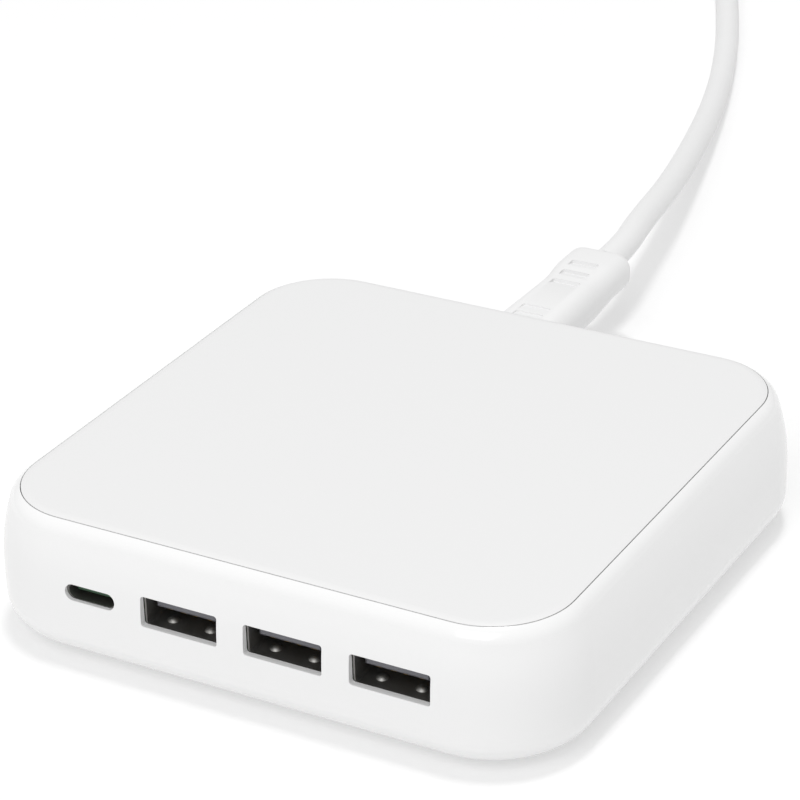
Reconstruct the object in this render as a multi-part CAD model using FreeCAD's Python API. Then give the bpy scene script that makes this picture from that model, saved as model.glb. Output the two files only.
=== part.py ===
import FreeCAD, Part
import math
import os

# Desktop charger with four outputs, and the mains lead plugged into its back.
# Millimetres. +Z is up, the ports look along -Y, and the feet stand on z = 0.

V = FreeCAD.Vector
AXIS_X = V(1, 0, 0)
AXIS_Y = V(0, 1, 0)
AXIS_Z = V(0, 0, 1)
ORIGIN = V(0, 0, 0)
NEAR = 0.01
CUT_PAST = 1.0

# Casing: a tub with a bowed side and a lid let into its rim
WIDTH = 100.0
DEPTH = 100.0
HEIGHT = 24.0
CORNER_R = 16.4
WALL = 1.8
LOWER_EDGE_R = 5.8
BOW_START = 11.0
BOW_R = 35.0
UPPER_EDGE_R = 3.2
SEAM_TILT = 65.0
SEAM_GAP = 0.15
LID_T = 2.1
LEDGE_W = 1.5
LEDGE_H = 1.5
SKIRT_GAP = 0.2
SKIRT_T = 1.4
SKIRT_H = 2.2
RIB_T = 1.2
RIB_H = 1.4
RIB_SPREAD = 18.0

# Feet
FOOT_H = 1.0
FOOT_D = 10.0
FOOT_SEAT = 0.6
FOOT_GAP = 0.15
FOOT_EDGE = 0.4
FOOT_INSET = 16.0

# Boards
BOARD_T = 1.6
BOARD_GAP = 1.4
BOSS_H = 2.8
BOSS_D = 6.0
BOSS_INSET = 10.5
PEG_D = 2.8
PEG_GAP = 0.1
PEG_UP = 0.6
SHEET_T = 0.4
SHEET_GAP = 0.3
SHEET_INSET = 8.0
PORT_BOARD_INSET = 7.5
TAB_W = 5.0
TAB_SPREAD = 34.0
TAB_GAP = 0.1
TAB_UNDER = 0.5

# Ports in the front
PORT_Z = 13.5
PORT_WALL = 1.1
POCKET_H = 6.4
POCKET_MARGIN = 8.5
POCKET_REACH = 3.0
RECEPTACLE_GAP = 0.1
RECEPTACLE_DEPTH = 12.5
SHELL_T = 0.3
INSULATOR_GAP = 0.05
CONTACT_GAP = 0.03

USB_A_COUNT = 3
USB_A_FIRST_X = -10.5
USB_A_PITCH = 17.85
USB_A_CUT_W = 13.3
USB_A_CUT_H = 5.0
USB_A_CUT_R = 0.5
USB_A_W = 12.5
USB_A_H = 5.12
USB_A_R = 0.4
USB_A_BASE_T = 2.6
TONGUE_W = 11.1
TONGUE_H = 1.84
TONGUE_DROP = 1.0
TONGUE_BACK = 1.3
TONGUE_CHAMFER = 0.55
CONTACT_X = (-3.5, -1.0, 1.0, 3.5)
CONTACT_W = 0.9
CONTACT_SINK = 0.3
CONTACT_PROUD = 0.2
CONTACT_BACK = 0.8
DIMPLE_R = 1.2
DIMPLE_UP = 0.6
DIMPLE_X = 3.3
DIMPLE_Y = 2.7

USB_C_X = -26.25
USB_C_WALL = 0.7
USB_C_ROOM = 0.2
USB_C_CUT_W = 8.9
USB_C_CUT_H = 2.7
USB_C_W = 8.34
USB_C_H = 2.56
USB_C_BASE_T = 6.2
BLADE_W = 6.69
BLADE_H = 0.7
BLADE_BACK = 1.2
FINGER_COUNT = 12
FINGER_PITCH = 0.5
FINGER_W = 0.26
FINGER_T = 0.1
FINGER_BACK = 0.5

# Mains inlet in the back
INLET_X = -8.9
INLET_Z = 12.5
INLET_SETBACK = 2.2
INLET_W = 19.0
INLET_DEPTH = 15.5
INLET_WALL = 1.2
INLET_POCKET = 0.3
RECESS_DEPTH = 12.6
RECESS_GAP = 0.2
PIN_D = 2.4
PIN_PITCH = 8.6
PIN_L = 10.5
PIN_TAIL = 2.0

# Mains connector
NOSE_W = 13.0
NOSE_H = 8.0
NOSE_R = 3.7
NOSE_L = 12.0
NOSE_TAPER = 0.4
CONNECTOR_REACH = 41.6
NECK_FREE = 0.5
NECK_W = 11.4
GRIP_L = 15.0
GRIP_W = 12.2
GRIP_RISE = 0.5
GRIP_LIFT = 1.5
GRIP_R = 3.0
GRIP_SWELL = 8.0
GRIP_ROUND = 2.6
GROOVE_W = 5.4
GROOVE_L = 1.9
GRIP_GROOVES = 3
GRIP_GROOVE_PITCH = 3.8
GRIP_GROOVE_BACK = 7.8
GRIP_GROOVE_DEEP = 0.55
NECK_GROOVES = 2
NECK_GROOVE_PITCH = 2.9
NECK_GROOVE_OUT = 10.3
NECK_GROOVE_DEEP = 0.2
SLEEVE_D = 3.4
SLEEVE_GAP = 0.05
SLEEVE_L = 10.5

# Mains cord: its route from the connector to the coil, and from the coil to the plug
CORD_D = 5.2
CORD_OUT = 8.0
LEAD_ROUTE = (
    (-11.6, 112.4, 13.0),
    (-16.5, 136.9, 10.0),
    (-23.3, 162.6, 6.8),
    (-30.5, 188.0, 4.2),
    (-38.3, 212.1, 2.6),
    (-47.6, 236.6, 2.6),
    (-59.1, 262.2, 2.6),
    (-66.5, 278.3, 2.6),
    (-76.0, 298.5, 2.6),
)
TAIL_ROUTE = (
    (4.5, 311.0, 8.4),
    (10.5, 299.5, 6.85),
    (15.0, 289.5, 6.85),
)
ARC_SHARE = 0.45
TURN_PITCH = 5.4
COIL_MEAN_R = 30.0
COIL_COLUMNS = 3
COIL_LAYERS = 2
COIL_EDGE_R = 2.4
TAIL_ANGLE = 30.0
TAIL_OUT = 16.0
NOTCH_SWEEP = 32.0
NOTCH_GAP = 0.1
TIE_T = 0.8
TIE_W = 12.0
TIE_ANGLE = 110.0

# Two-pin mains plug
PLUG_W = 35.3
PLUG_H = 13.7
PLUG_L = 36.0
PLUG_EDGE_R = 5.0
PLUG_HEAD = 8.0
PLUG_WAIST_AT = 13.0
PLUG_WAIST_W = 17.0
PLUG_WAIST_H = 11.5
PLUG_NECK_W = 10.5
PLUG_NECK_H = 9.5
PLUG_NECK_R = 4.0
PLUG_PIN_D = 4.0
PLUG_PIN_SHANK_D = 3.0
PLUG_PIN_L = 19.0
PLUG_PIN_PITCH = 19.0
PLUG_PIN_SUNK = 10.0
PLUG_PIN_TIP_R = 1.2
PIN_SLEEVE_D = 3.6
PIN_SLEEVE_L = 10.0
PIN_FIT = 0.05

# Parts on the main board: places count in from its edges, or out from the transformer's middle
FUSE_D = 8.4
FUSE_H = 8.0
FUSE_OUT = 8.0
FUSE_IN = 7.0
LEG_D = 0.8
X_CAP = (13.0, 6.0, 10.5)
X_CAP_AT = (10.0, 19.0)
CHOKE_AT = (11.0, 33.0)
CHOKE_R = 7.0
CHOKE_BORE_R = 3.5
CHOKE_H = 6.0
CHOKE_WIRE = 0.6
CHOKE_GAP = 0.05
CHOKE_ARC = 130.0
BRIDGE = (14.6, 3.6, 9.0)
BRIDGE_BACK = 5.0
BRIDGE_LEG_H = 1.0
BRIDGE_LEGS = 4
BRIDGE_LEG_PITCH = 3.8
BULK_COUNT = 3
BULK_L = 27.0
BULK_LID_GAP = 1.3
BULK_APART = 0.6
BULK_EDGE = 1.0
BULK_AT = (9.5, 8.0)
CORE_W = 25.0
CORE_D = 15.0
CORE_PLATE = 2.6
CORE_LEG = 2.9
POST_D = 8.0
BOBBIN_GAP = 0.1
BOBBIN_T = 0.7
FLANGE_R = 9.2
WINDING_R = 8.9
SPREADER_T = 0.8
SPREADER_W = 16.0
SPREADER_GAP = 1.4
SPREADER_LID_GAP = 0.4
PAD_T = 0.5
Y_CAP_D = 8.0
Y_CAP_T = 4.0
Y_CAP_FROM_CORE = (-15.1, -6.75)
Y_CAP_LEG = 1.0
SWITCH = (8.0, 6.0, 0.9)
SWITCH_IN = 11.0
SWITCH_FROM_CORE = -8.75
CONTROLLER = (6.0, 5.0, 1.5)
CONTROLLER_IN = 11.0
CONTROLLER_FROM_CORE = -15.75
RECTIFIER = (6.0, 5.0, 1.1)
RECTIFIER_FROM_CORE = (20.9, -9.75)
CHANNELS = 4
CHANNEL_PITCH = 18.0
OUT_CAP_D = 8.0
OUT_CAP_H = 10.5
OUT_CAP_EDGE = 0.8
OUT_CAP_BACK = 18.3
INDUCTOR = (10.0, 10.0, 5.0)
INDUCTOR_BACK = 7.3
INDUCTOR_EDGE = 0.6
PORT_CHIP = (5.0, 0.9, 5.0)
PORT_CHIP_Z = 13.5

# Places worked out from the sizes above
FRONT = -DEPTH / 2
BACK = DEPTH / 2
UNDERSIDE = FOOT_H
FLOOR = UNDERSIDE + WALL
BOARD_LOW = FLOOR + BOSS_H
BOARD_TOP = BOARD_LOW + BOARD_T
BOARD_INSET = WALL + BOARD_GAP
BOARD_X = WIDTH / 2 - BOARD_INSET
BOARD_Y = DEPTH / 2 - BOARD_INSET
LID_UNDER = HEIGHT - LID_T
RIB_LOW = LID_UNDER - RIB_H
LEDGE_LOW = LID_UNDER - LEDGE_H
LEAN = math.asin((HEIGHT - UPPER_EDGE_R - BOW_START) / (BOW_R - UPPER_EDGE_R))
UPPER_IN = BOW_R - (BOW_R - UPPER_EDGE_R) * math.cos(LEAN)
UPPER_Z = HEIGHT - UPPER_EDGE_R
SEAM_INSET = UPPER_IN - UPPER_EDGE_R * math.cos(math.radians(SEAM_TILT))
LID_INSET = SEAM_INSET + SEAM_GAP
LEDGE_INSET = SEAM_INSET + LEDGE_W
SKIRT_INSET = LEDGE_INSET + SKIRT_GAP
PLATE_INSET = SKIRT_INSET + SKIRT_T
SKIRT_LOW = LID_UNDER - SKIRT_H
PORT_FACE = FRONT + PORT_WALL + RECEPTACLE_GAP
USB_C_FACE = FRONT + USB_C_WALL + RECEPTACLE_GAP
PORT_BOARD_Y = PORT_FACE + RECEPTACLE_DEPTH
PORT_BOARD_BACK = PORT_BOARD_Y + BOARD_T
PORT_BOARD_TOP = RIB_LOW - SPREADER_LID_GAP
USB_A_X = [USB_A_FIRST_X + k * USB_A_PITCH for k in range(USB_A_COUNT)]
CHANNEL_X = [(k - (CHANNELS - 1) / 2) * CHANNEL_PITCH for k in range(CHANNELS)]
INLET_FACE = BACK - INLET_SETBACK
INLET_REAR = INLET_FACE - INLET_DEPTH
RECESS_W = NOSE_W + 2 * RECESS_GAP
RECESS_H = NOSE_H + 2 * RECESS_GAP
INLET_TOP = INLET_Z + RECESS_H / 2 + INLET_WALL
CONNECTOR_END = BACK + CONNECTOR_REACH
GRIP_H = NOSE_H + GRIP_RISE - GRIP_LIFT
GRIP_LEVEL = (GRIP_RISE + GRIP_LIFT) / 2
COIL_OUT_R = COIL_MEAN_R + COIL_COLUMNS * TURN_PITCH / 2
COIL_IN_R = COIL_MEAN_R - COIL_COLUMNS * TURN_PITCH / 2
COIL_TOP = TIE_T + CORD_D + (COIL_LAYERS - 1) * TURN_PITCH
TONGUE_TOP = PORT_Z + USB_A_H / 2 - TONGUE_DROP
TONGUE_LOW = TONGUE_TOP - TONGUE_H
TONGUE_FRONT = PORT_FACE + TONGUE_BACK
CHOKE_X = -BOARD_X + CHOKE_AT[0]
CHOKE_Y = BOARD_Y - CHOKE_AT[1]
CHOKE_COVER = CHOKE_WIRE + CHOKE_GAP
BULK_D = RIB_LOW - BULK_LID_GAP - BOARD_TOP
BULK_LEFT = BOARD_X - BULK_AT[0] - BULK_L
OUT_CAP_Y = PORT_BOARD_BACK + OUT_CAP_BACK
BRIDGE_Y = INLET_REAR - BRIDGE_BACK
CORE_X = (CHOKE_X + CHOKE_R + CHOKE_COVER + BULK_LEFT) / 2
CORE_Y = (OUT_CAP_Y + OUT_CAP_D / 2 + BRIDGE_Y - BRIDGE[1] / 2) / 2
CORE_TOP = RIB_LOW - SPREADER_LID_GAP - SPREADER_T - PAD_T
CORE_MIDDLE = (BOARD_TOP + CORE_TOP) / 2
BOBBIN_LOW = BOARD_TOP + CORE_PLATE
BOBBIN_TOP = CORE_TOP - CORE_PLATE


def box(x0, x1, y0, y1, z0, z1):
    """Box between two corners."""
    return Part.makeBox(x1 - x0, y1 - y0, z1 - z0, V(x0, y0, z0))


def block(x, y, z, size):
    """Box of (width, depth, height) standing on z and centred on x, y."""
    w, d, h = size
    return box(x - w / 2, x + w / 2, y - d / 2, y + d / 2, z, z + h)


def post(x, y, z0, z1, diameter):
    """Upright cylinder."""
    return Part.makeCylinder(diameter / 2, z1 - z0, V(x, y, z0))


def fuse(shapes):
    """One solid from shapes that meet."""
    return shapes[0].multiFuse(shapes[1:]).removeSplitter()


def rounded_wire(width, height, radius, centre, across, up):
    """Rounded rectangle of width along 'across' and height along 'up'."""
    def at(a, b):
        return centre + across * a + up * b

    edges = []
    last = None
    first = None
    for k in range(4):
        angle = math.radians(90 * k)
        sign_a = 1 if k in (0, 3) else -1
        sign_b = 1 if k in (0, 1) else -1
        ca = sign_a * (width / 2 - radius)
        cb = sign_b * (height / 2 - radius)
        turn = [angle, angle + math.pi / 4, angle + math.pi / 2]
        start, middle, end = [at(ca + radius * math.cos(t), cb + radius * math.sin(t)) for t in turn]
        if last is not None and last.distanceToPoint(start) > NEAR:
            edges.append(Part.LineSegment(last, start).toShape())
        edges.append(Part.Arc(start, middle, end).toShape())
        first = first or start
        last = end
    if last.distanceToPoint(first) > NEAR:
        edges.append(Part.LineSegment(last, first).toShape())
    return Part.Wire(edges)


def plate(inset, z0, z1):
    """Slab with the casing's outline drawn in by inset."""
    wire = rounded_wire(WIDTH - 2 * inset, DEPTH - 2 * inset, CORNER_R - inset, V(0, 0, z0), AXIS_X, AXIS_Y)
    return Part.Face(wire).extrude(AXIS_Z * (z1 - z0))


def bar_y(width, height, radius, x, z, y0, y1):
    """Rounded bar along Y."""
    wire = rounded_wire(width, height, radius, V(x, y0, z), AXIS_X, AXIS_Z)
    return Part.Face(wire).extrude(AXIS_Y * (y1 - y0))


def cylinder_y(x, z, y0, y1, diameter):
    """Cylinder along Y."""
    return Part.makeCylinder(diameter / 2, y1 - y0, V(x, y0, z), AXIS_Y)


def on_arc(centre, radius, angle):
    """Point of a section's arc as (inset, z): 0 looks outwards, pi / 2 up."""
    return (centre[0] - radius * math.cos(angle), centre[1] + radius * math.sin(angle))


def section_face(steps, x, y):
    """Section of (inset, z) steps, drawn across the front side at x."""
    def at(p):
        return V(x, y + p[0], p[1])

    edges = []
    here = steps[-1][-1]
    for step in steps:
        if len(step) == 1:
            edges.append(Part.LineSegment(at(here), at(step[0])).toShape())
        else:
            edges.append(Part.Arc(at(here), at(step[0]), at(step[1])).toShape())
        here = step[-1]
    return Part.Face(Part.Wire(edges))


def sweep_round(steps):
    """Carry a section of (inset, z) steps once round the casing's outline."""
    pieces = []
    for k in range(4):
        along, across = (WIDTH, DEPTH) if k % 2 == 0 else (DEPTH, WIDTH)
        run = along - 2 * CORNER_R
        side = section_face(steps, -run / 2, -across / 2).extrude(AXIS_X * run)
        axis = V(run / 2, -across / 2 + CORNER_R, 0)
        corner = section_face(steps, run / 2, -across / 2).revolve(axis, AXIS_Z, 90)
        for piece in (side, corner):
            piece.rotate(ORIGIN, AXIS_Z, 90 * k)
            pieces.append(piece)
    return fuse(pieces)


def arc_step(centre, radius, start, end):
    """Arc of a section, as its middle and end points."""
    return (on_arc(centre, radius, (start + end) / 2), on_arc(centre, radius, end))


def tub_section():
    """Wall of the tub: round lower edge, bowed side, round upper edge, ledge for the lid."""
    lower = (LOWER_EDGE_R, UNDERSIDE + LOWER_EDGE_R)
    bow = (BOW_R, BOW_START)
    upper = (UPPER_IN, UPPER_Z)
    seam = math.radians(SEAM_TILT)
    inner_r = BOW_R - WALL
    inner_lean = math.asin((LEDGE_LOW - BOW_START) / inner_r)
    quarter = math.pi / 2
    return [
        arc_step(lower, LOWER_EDGE_R, -quarter, 0),
        ((0, BOW_START),),
        arc_step(bow, BOW_R, 0, LEAN),
        arc_step(upper, UPPER_EDGE_R, LEAN, seam),
        ((SEAM_INSET, LID_UNDER),),
        ((LEDGE_INSET, LID_UNDER),),
        ((LEDGE_INSET, LEDGE_LOW),),
        (on_arc(bow, inner_r, inner_lean),),
        arc_step(bow, inner_r, inner_lean, 0),
        ((WALL, UNDERSIDE + LOWER_EDGE_R),),
        arc_step(lower, LOWER_EDGE_R - WALL, 0, -quarter),
        ((LOWER_EDGE_R, UNDERSIDE),),
    ]


def corners(inset):
    """Four places drawn in from the casing's sides: front left, front right, rear left, rear right."""
    x = WIDTH / 2 - inset
    y = DEPTH / 2 - inset
    return [(-x, -y), (x, -y), (-x, y), (x, y)]


def port_cuts():
    """Cut-outs of the four ports, the flat pocket behind them, and the seat of the oval one."""
    rear = FRONT + PORT_WALL + POCKET_REACH
    cuts = []
    for x in USB_A_X:
        cuts.append(bar_y(USB_A_CUT_W, USB_A_CUT_H, USB_A_CUT_R, x, PORT_Z, FRONT - CUT_PAST, rear))
    cuts.append(bar_y(USB_C_CUT_W, USB_C_CUT_H, USB_C_CUT_H / 2, USB_C_X, PORT_Z, FRONT - CUT_PAST, rear))
    seat = USB_C_H + 2 * (SHELL_T + USB_C_ROOM)
    cuts.append(bar_y(USB_C_W - USB_C_H + seat, seat, seat / 2, USB_C_X, PORT_Z, FRONT + USB_C_WALL, rear))
    left = USB_C_X - POCKET_MARGIN
    right = USB_A_X[-1] + POCKET_MARGIN
    low = PORT_Z - POCKET_H / 2
    cuts.append(box(left, right, FRONT + PORT_WALL, rear, low, low + POCKET_H))
    return cuts


def inlet_cuts():
    """Opening for the connector, and the flat pocket that the inlet stands in."""
    half = INLET_W / 2 + INLET_POCKET
    front = INLET_FACE - POCKET_REACH
    opening = bar_y(RECESS_W, RECESS_H, RECESS_H / 2, INLET_X, INLET_Z, front, BACK + CUT_PAST)
    top = INLET_TOP + INLET_POCKET
    pocket = box(INLET_X - half, INLET_X + half, front, INLET_FACE, BOARD_TOP, top)
    return [opening, pocket]


def lower_housing():
    """Moulded tub with bosses for the board, seats for the feet and the port openings."""
    tub = [sweep_round(tub_section()), plate(LOWER_EDGE_R, UNDERSIDE, FLOOR)]
    for x, y in corners(BOSS_INSET):
        tub.append(post(x, y, FLOOR - WALL / 2, BOARD_LOW, BOSS_D))
        tub.append(post(x, y, BOARD_LOW, BOARD_TOP + PEG_UP, PEG_D))
    cuts = port_cuts() + inlet_cuts()
    for x, y in corners(FOOT_INSET):
        cuts.append(post(x, y, UNDERSIDE - CUT_PAST, UNDERSIDE + FOOT_SEAT, FOOT_D + 2 * FOOT_GAP))
    return fuse(tub).cut(cuts)


def top_cover():
    """Lid with a locating skirt and crossed ribs under it."""
    upper = (UPPER_IN, UPPER_Z)
    start = math.acos((UPPER_IN - LID_INSET) / UPPER_EDGE_R)
    rim = [
        (on_arc(upper, UPPER_EDGE_R, start),),
        arc_step(upper, UPPER_EDGE_R, start, math.pi / 2),
        ((PLATE_INSET, HEIGHT),),
        ((PLATE_INSET, SKIRT_LOW),),
        ((SKIRT_INSET, SKIRT_LOW),),
        ((SKIRT_INSET, LID_UNDER),),
        ((LID_INSET, LID_UNDER),),
    ]
    lid = [sweep_round(rim), plate(PLATE_INSET, LID_UNDER, HEIGHT)]
    x = WIDTH / 2 - PLATE_INSET
    y = DEPTH / 2 - PLATE_INSET
    for side in (-1, 1):
        at = side * RIB_SPREAD
        lid.append(box(-x, x, at - RIB_T / 2, at + RIB_T / 2, RIB_LOW, LID_UNDER))
        lid.append(box(at - RIB_T / 2, at + RIB_T / 2, -y, y, RIB_LOW, LID_UNDER))
    return fuse(lid)


def foot(x, y):
    """Rubber foot with a rounded lower edge, let into the underside."""
    pad = post(x, y, 0, UNDERSIDE + FOOT_SEAT, FOOT_D)
    rim = [e for e in pad.Edges if e.BoundBox.ZMax < FOOT_EDGE]
    return pad.makeFillet(FOOT_EDGE, rim)


def insulation_sheet():
    """Film on the floor, pierced for the bosses."""
    film = plate(SHEET_INSET, FLOOR, FLOOR + SHEET_T)
    holes = [post(x, y, UNDERSIDE, BOARD_LOW, BOSS_D + 2 * SHEET_GAP) for x, y in corners(BOSS_INSET)]
    return film.cut(holes)


def tab_x():
    """Places of the port board's three tabs."""
    return [-TAB_SPREAD, 0, TAB_SPREAD]


def main_board():
    """Board on the bosses, slotted for the port board's tabs."""
    board = plate(BOARD_INSET, BOARD_LOW, BOARD_TOP)
    cuts = [post(x, y, FLOOR, HEIGHT, PEG_D + 2 * PEG_GAP) for x, y in corners(BOSS_INSET)]
    for x in tab_x():
        half = TAB_W / 2 + TAB_GAP
        front = PORT_BOARD_Y - TAB_GAP
        cuts.append(box(x - half, x + half, front, PORT_BOARD_BACK + TAB_GAP, FLOOR, HEIGHT))
    return board.cut(cuts)


def port_board():
    """Upright board behind the ports, tabbed into the main board."""
    x = WIDTH / 2 - PORT_BOARD_INSET
    pieces = [box(-x, x, PORT_BOARD_Y, PORT_BOARD_BACK, BOARD_TOP, PORT_BOARD_TOP)]
    for at in tab_x():
        low = BOARD_LOW - TAB_UNDER
        pieces.append(box(at - TAB_W / 2, at + TAB_W / 2, PORT_BOARD_Y, PORT_BOARD_BACK, low, BOARD_TOP))
    return fuse(pieces)


def usb_a_shell(x):
    """Folded sheet shell with two sprung dimples in its floor."""
    outer = bar_y(USB_A_W + 2 * SHELL_T, USB_A_H + 2 * SHELL_T, USB_A_R + SHELL_T, x, PORT_Z,
                  PORT_FACE, PORT_BOARD_Y)
    shell = outer.cut(bar_y(USB_A_W, USB_A_H, USB_A_R, x, PORT_Z, PORT_FACE, PORT_BOARD_Y))
    floor = PORT_Z - USB_A_H / 2
    for side in (-1, 1):
        centre = V(x + side * DIMPLE_X, PORT_FACE + DIMPLE_Y, floor + DIMPLE_UP - DIMPLE_R)
        above = block(centre.x, centre.y, floor - SHELL_T / 2, (2 * DIMPLE_R, 2 * DIMPLE_R, DIMPLE_R))
        cap = Part.makeSphere(DIMPLE_R, centre).common(above)
        shell = shell.fuse(cap).cut(Part.makeSphere(DIMPLE_R - SHELL_T, centre))
    return shell.removeSplitter()


def usb_a_strips(x, margin):
    """Four contact strips under the tongue, grown by margin on every side."""
    strips = []
    for dx in CONTACT_X:
        half = CONTACT_W / 2 + margin
        front = TONGUE_FRONT + CONTACT_BACK - margin
        strips.append(box(x + dx - half, x + dx + half, front, PORT_BOARD_Y,
                          TONGUE_LOW - CONTACT_PROUD - margin, TONGUE_LOW + CONTACT_SINK + margin))
    return strips


def usb_a_insulator(x):
    """Moulded base with its tongue, grooved for the contacts."""
    base_w = USB_A_W - 2 * INSULATOR_GAP
    base_h = USB_A_H - 2 * INSULATOR_GAP
    y = PORT_BOARD_Y - USB_A_BASE_T
    base = bar_y(base_w, base_h, USB_A_R, x, PORT_Z, y, PORT_BOARD_Y)
    tongue = box(x - TONGUE_W / 2, x + TONGUE_W / 2, TONGUE_FRONT, y, TONGUE_LOW, TONGUE_TOP)
    front = [e for e in tongue.Edges if e.BoundBox.YMax < TONGUE_FRONT + NEAR]
    tongue = tongue.makeChamfer(TONGUE_CHAMFER, front)
    return fuse([base, tongue]).cut(usb_a_strips(x, CONTACT_GAP))


def usb_c_shell():
    """Drawn oval shell."""
    radius = USB_C_H / 2
    outer = bar_y(USB_C_W + 2 * SHELL_T, USB_C_H + 2 * SHELL_T, radius + SHELL_T, USB_C_X, PORT_Z,
                  USB_C_FACE, PORT_BOARD_Y)
    return outer.cut(bar_y(USB_C_W, USB_C_H, radius, USB_C_X, PORT_Z, USB_C_FACE, PORT_BOARD_Y))


def usb_c_fingers(margin):
    """Contact fingers let into both faces of the blade, grown by margin."""
    fingers = []
    front = USB_C_FACE + BLADE_BACK + FINGER_BACK
    for side in (-1, 1):
        face = PORT_Z + side * BLADE_H / 2
        inner = face - side * FINGER_T
        low = min(face, inner) - (margin if side > 0 else 0)
        high = max(face, inner) + (margin if side < 0 else 0)
        for k in range(FINGER_COUNT):
            x = USB_C_X + (k - (FINGER_COUNT - 1) / 2) * FINGER_PITCH
            half = FINGER_W / 2 + margin
            fingers.append(box(x - half, x + half, front - margin, PORT_BOARD_Y, low, high))
    return fingers


def usb_c_insulator():
    """Moulded base with its thin blade."""
    width = USB_C_W - 2 * INSULATOR_GAP
    height = USB_C_H - 2 * INSULATOR_GAP
    y = PORT_BOARD_Y - USB_C_BASE_T
    base = bar_y(width, height, height / 2, USB_C_X, PORT_Z, y, PORT_BOARD_Y)
    blade = box(USB_C_X - BLADE_W / 2, USB_C_X + BLADE_W / 2, USB_C_FACE + BLADE_BACK, y,
                PORT_Z - BLADE_H / 2, PORT_Z + BLADE_H / 2)
    return fuse([base, blade]).cut(usb_c_fingers(CONTACT_GAP))


def inlet_pin_x():
    """Places of the two mains pins."""
    return [INLET_X - PIN_PITCH / 2, INLET_X + PIN_PITCH / 2]


def inlet_housing():
    """Inlet block with its oval recess."""
    body = box(INLET_X - INLET_W / 2, INLET_X + INLET_W / 2, INLET_REAR, INLET_FACE, BOARD_TOP, INLET_TOP)
    recess = bar_y(RECESS_W, RECESS_H, RECESS_H / 2, INLET_X, INLET_Z, INLET_FACE - RECESS_DEPTH, INLET_FACE)
    bores = [cylinder_y(x, INLET_Z, INLET_REAR, INLET_FACE, PIN_D) for x in inlet_pin_x()]
    return body.cut([recess] + bores)


def inlet_pins():
    """Two round-ended pins through the inlet block."""
    pins = []
    for x in inlet_pin_x():
        tip = INLET_FACE - RECESS_DEPTH + PIN_L
        shaft = cylinder_y(x, INLET_Z, INLET_REAR - PIN_TAIL, tip - PIN_D / 2, PIN_D)
        nose = Part.makeSphere(PIN_D / 2, V(x, tip - PIN_D / 2, INLET_Z))
        pins.append(fuse([shaft, nose]))
    return Part.makeCompound(pins)


def connector_outline(y, width, height, radius, level=0.0):
    """Rounded outline of the connector at y, with its middle level above the inlet's."""
    return rounded_wire(width, height, radius, V(INLET_X, y, INLET_Z + level), AXIS_X, AXIS_Z)


def groove(y, z, deep):
    """Wedge to cut a finger groove with: steep at y, and sloping out to level z beyond it."""
    x = INLET_X - GROOVE_W / 2
    up = math.copysign(CUT_PAST, deep)
    far = y + GROOVE_L
    steps = [V(x, y, z - deep), V(x, far, z), V(x, far, z + up), V(x, y, z + up)]
    return Part.Face(Part.makePolygon(steps + steps[:1])).extrude(AXIS_X * GROOVE_W)


def connector_grooves():
    """Three deep grooves above and below the grip, and two faint ones above the neck."""
    grip = CONNECTOR_END - GRIP_L
    cuts = []
    for k in range(GRIP_GROOVES):
        y = CONNECTOR_END - GRIP_GROOVE_BACK - k * GRIP_GROOVE_PITCH
        share = max(0.0, min(1.0, (y - grip) / GRIP_SWELL))
        cuts.append(groove(y, INLET_Z + NOSE_H / 2 + share * GRIP_RISE, GRIP_GROOVE_DEEP))
        cuts.append(groove(y, INLET_Z - NOSE_H / 2 + share * GRIP_LIFT, -GRIP_GROOVE_DEEP))
    for k in range(NECK_GROOVES):
        y = BACK + NECK_GROOVE_OUT + k * NECK_GROOVE_PITCH
        cuts.append(groove(y, INLET_Z + NOSE_H / 2, NECK_GROOVE_DEEP))
    return cuts


def mains_connector():
    """Moulded connector: nose in the inlet, tapered neck, and a grooved grip that rises below."""
    tip = INLET_FACE - NOSE_L
    grip = CONNECTOR_END - GRIP_L
    stations = [
        connector_outline(tip, NOSE_W - 2 * NOSE_TAPER, NOSE_H - 2 * NOSE_TAPER, NOSE_R - NOSE_TAPER),
        connector_outline(tip + NOSE_TAPER, NOSE_W, NOSE_H, NOSE_R),
        connector_outline(BACK + NECK_FREE, NOSE_W, NOSE_H, NOSE_R),
        connector_outline(grip, NECK_W, NOSE_H, GRIP_R),
        connector_outline(grip + GRIP_SWELL, GRIP_W, GRIP_H, GRIP_R, GRIP_LEVEL),
        connector_outline(CONNECTOR_END, GRIP_W, GRIP_H, GRIP_R, GRIP_LEVEL),
    ]
    body = Part.makeLoft(stations, True, True)
    end = [e for e in body.Edges if e.BoundBox.YMin > CONNECTOR_END - NEAR]
    body = body.makeFillet(GRIP_ROUND, end)
    bores = [cylinder_y(x, INLET_Z, tip - CUT_PAST, tip + SLEEVE_L, SLEEVE_D) for x in inlet_pin_x()]
    return body.cut(connector_grooves() + bores)


def connector_contacts():
    """Two contact sleeves in the connector's nose, round the inlet's pins."""
    tip = INLET_FACE - NOSE_L
    sleeves = []
    for x in inlet_pin_x():
        tube = cylinder_y(x, INLET_Z, tip, tip + SLEEVE_L, SLEEVE_D)
        sleeves.append(tube.cut(cylinder_y(x, INLET_Z, tip, tip + SLEEVE_L, PIN_D + 2 * SLEEVE_GAP)))
    return Part.makeCompound(sleeves)


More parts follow.
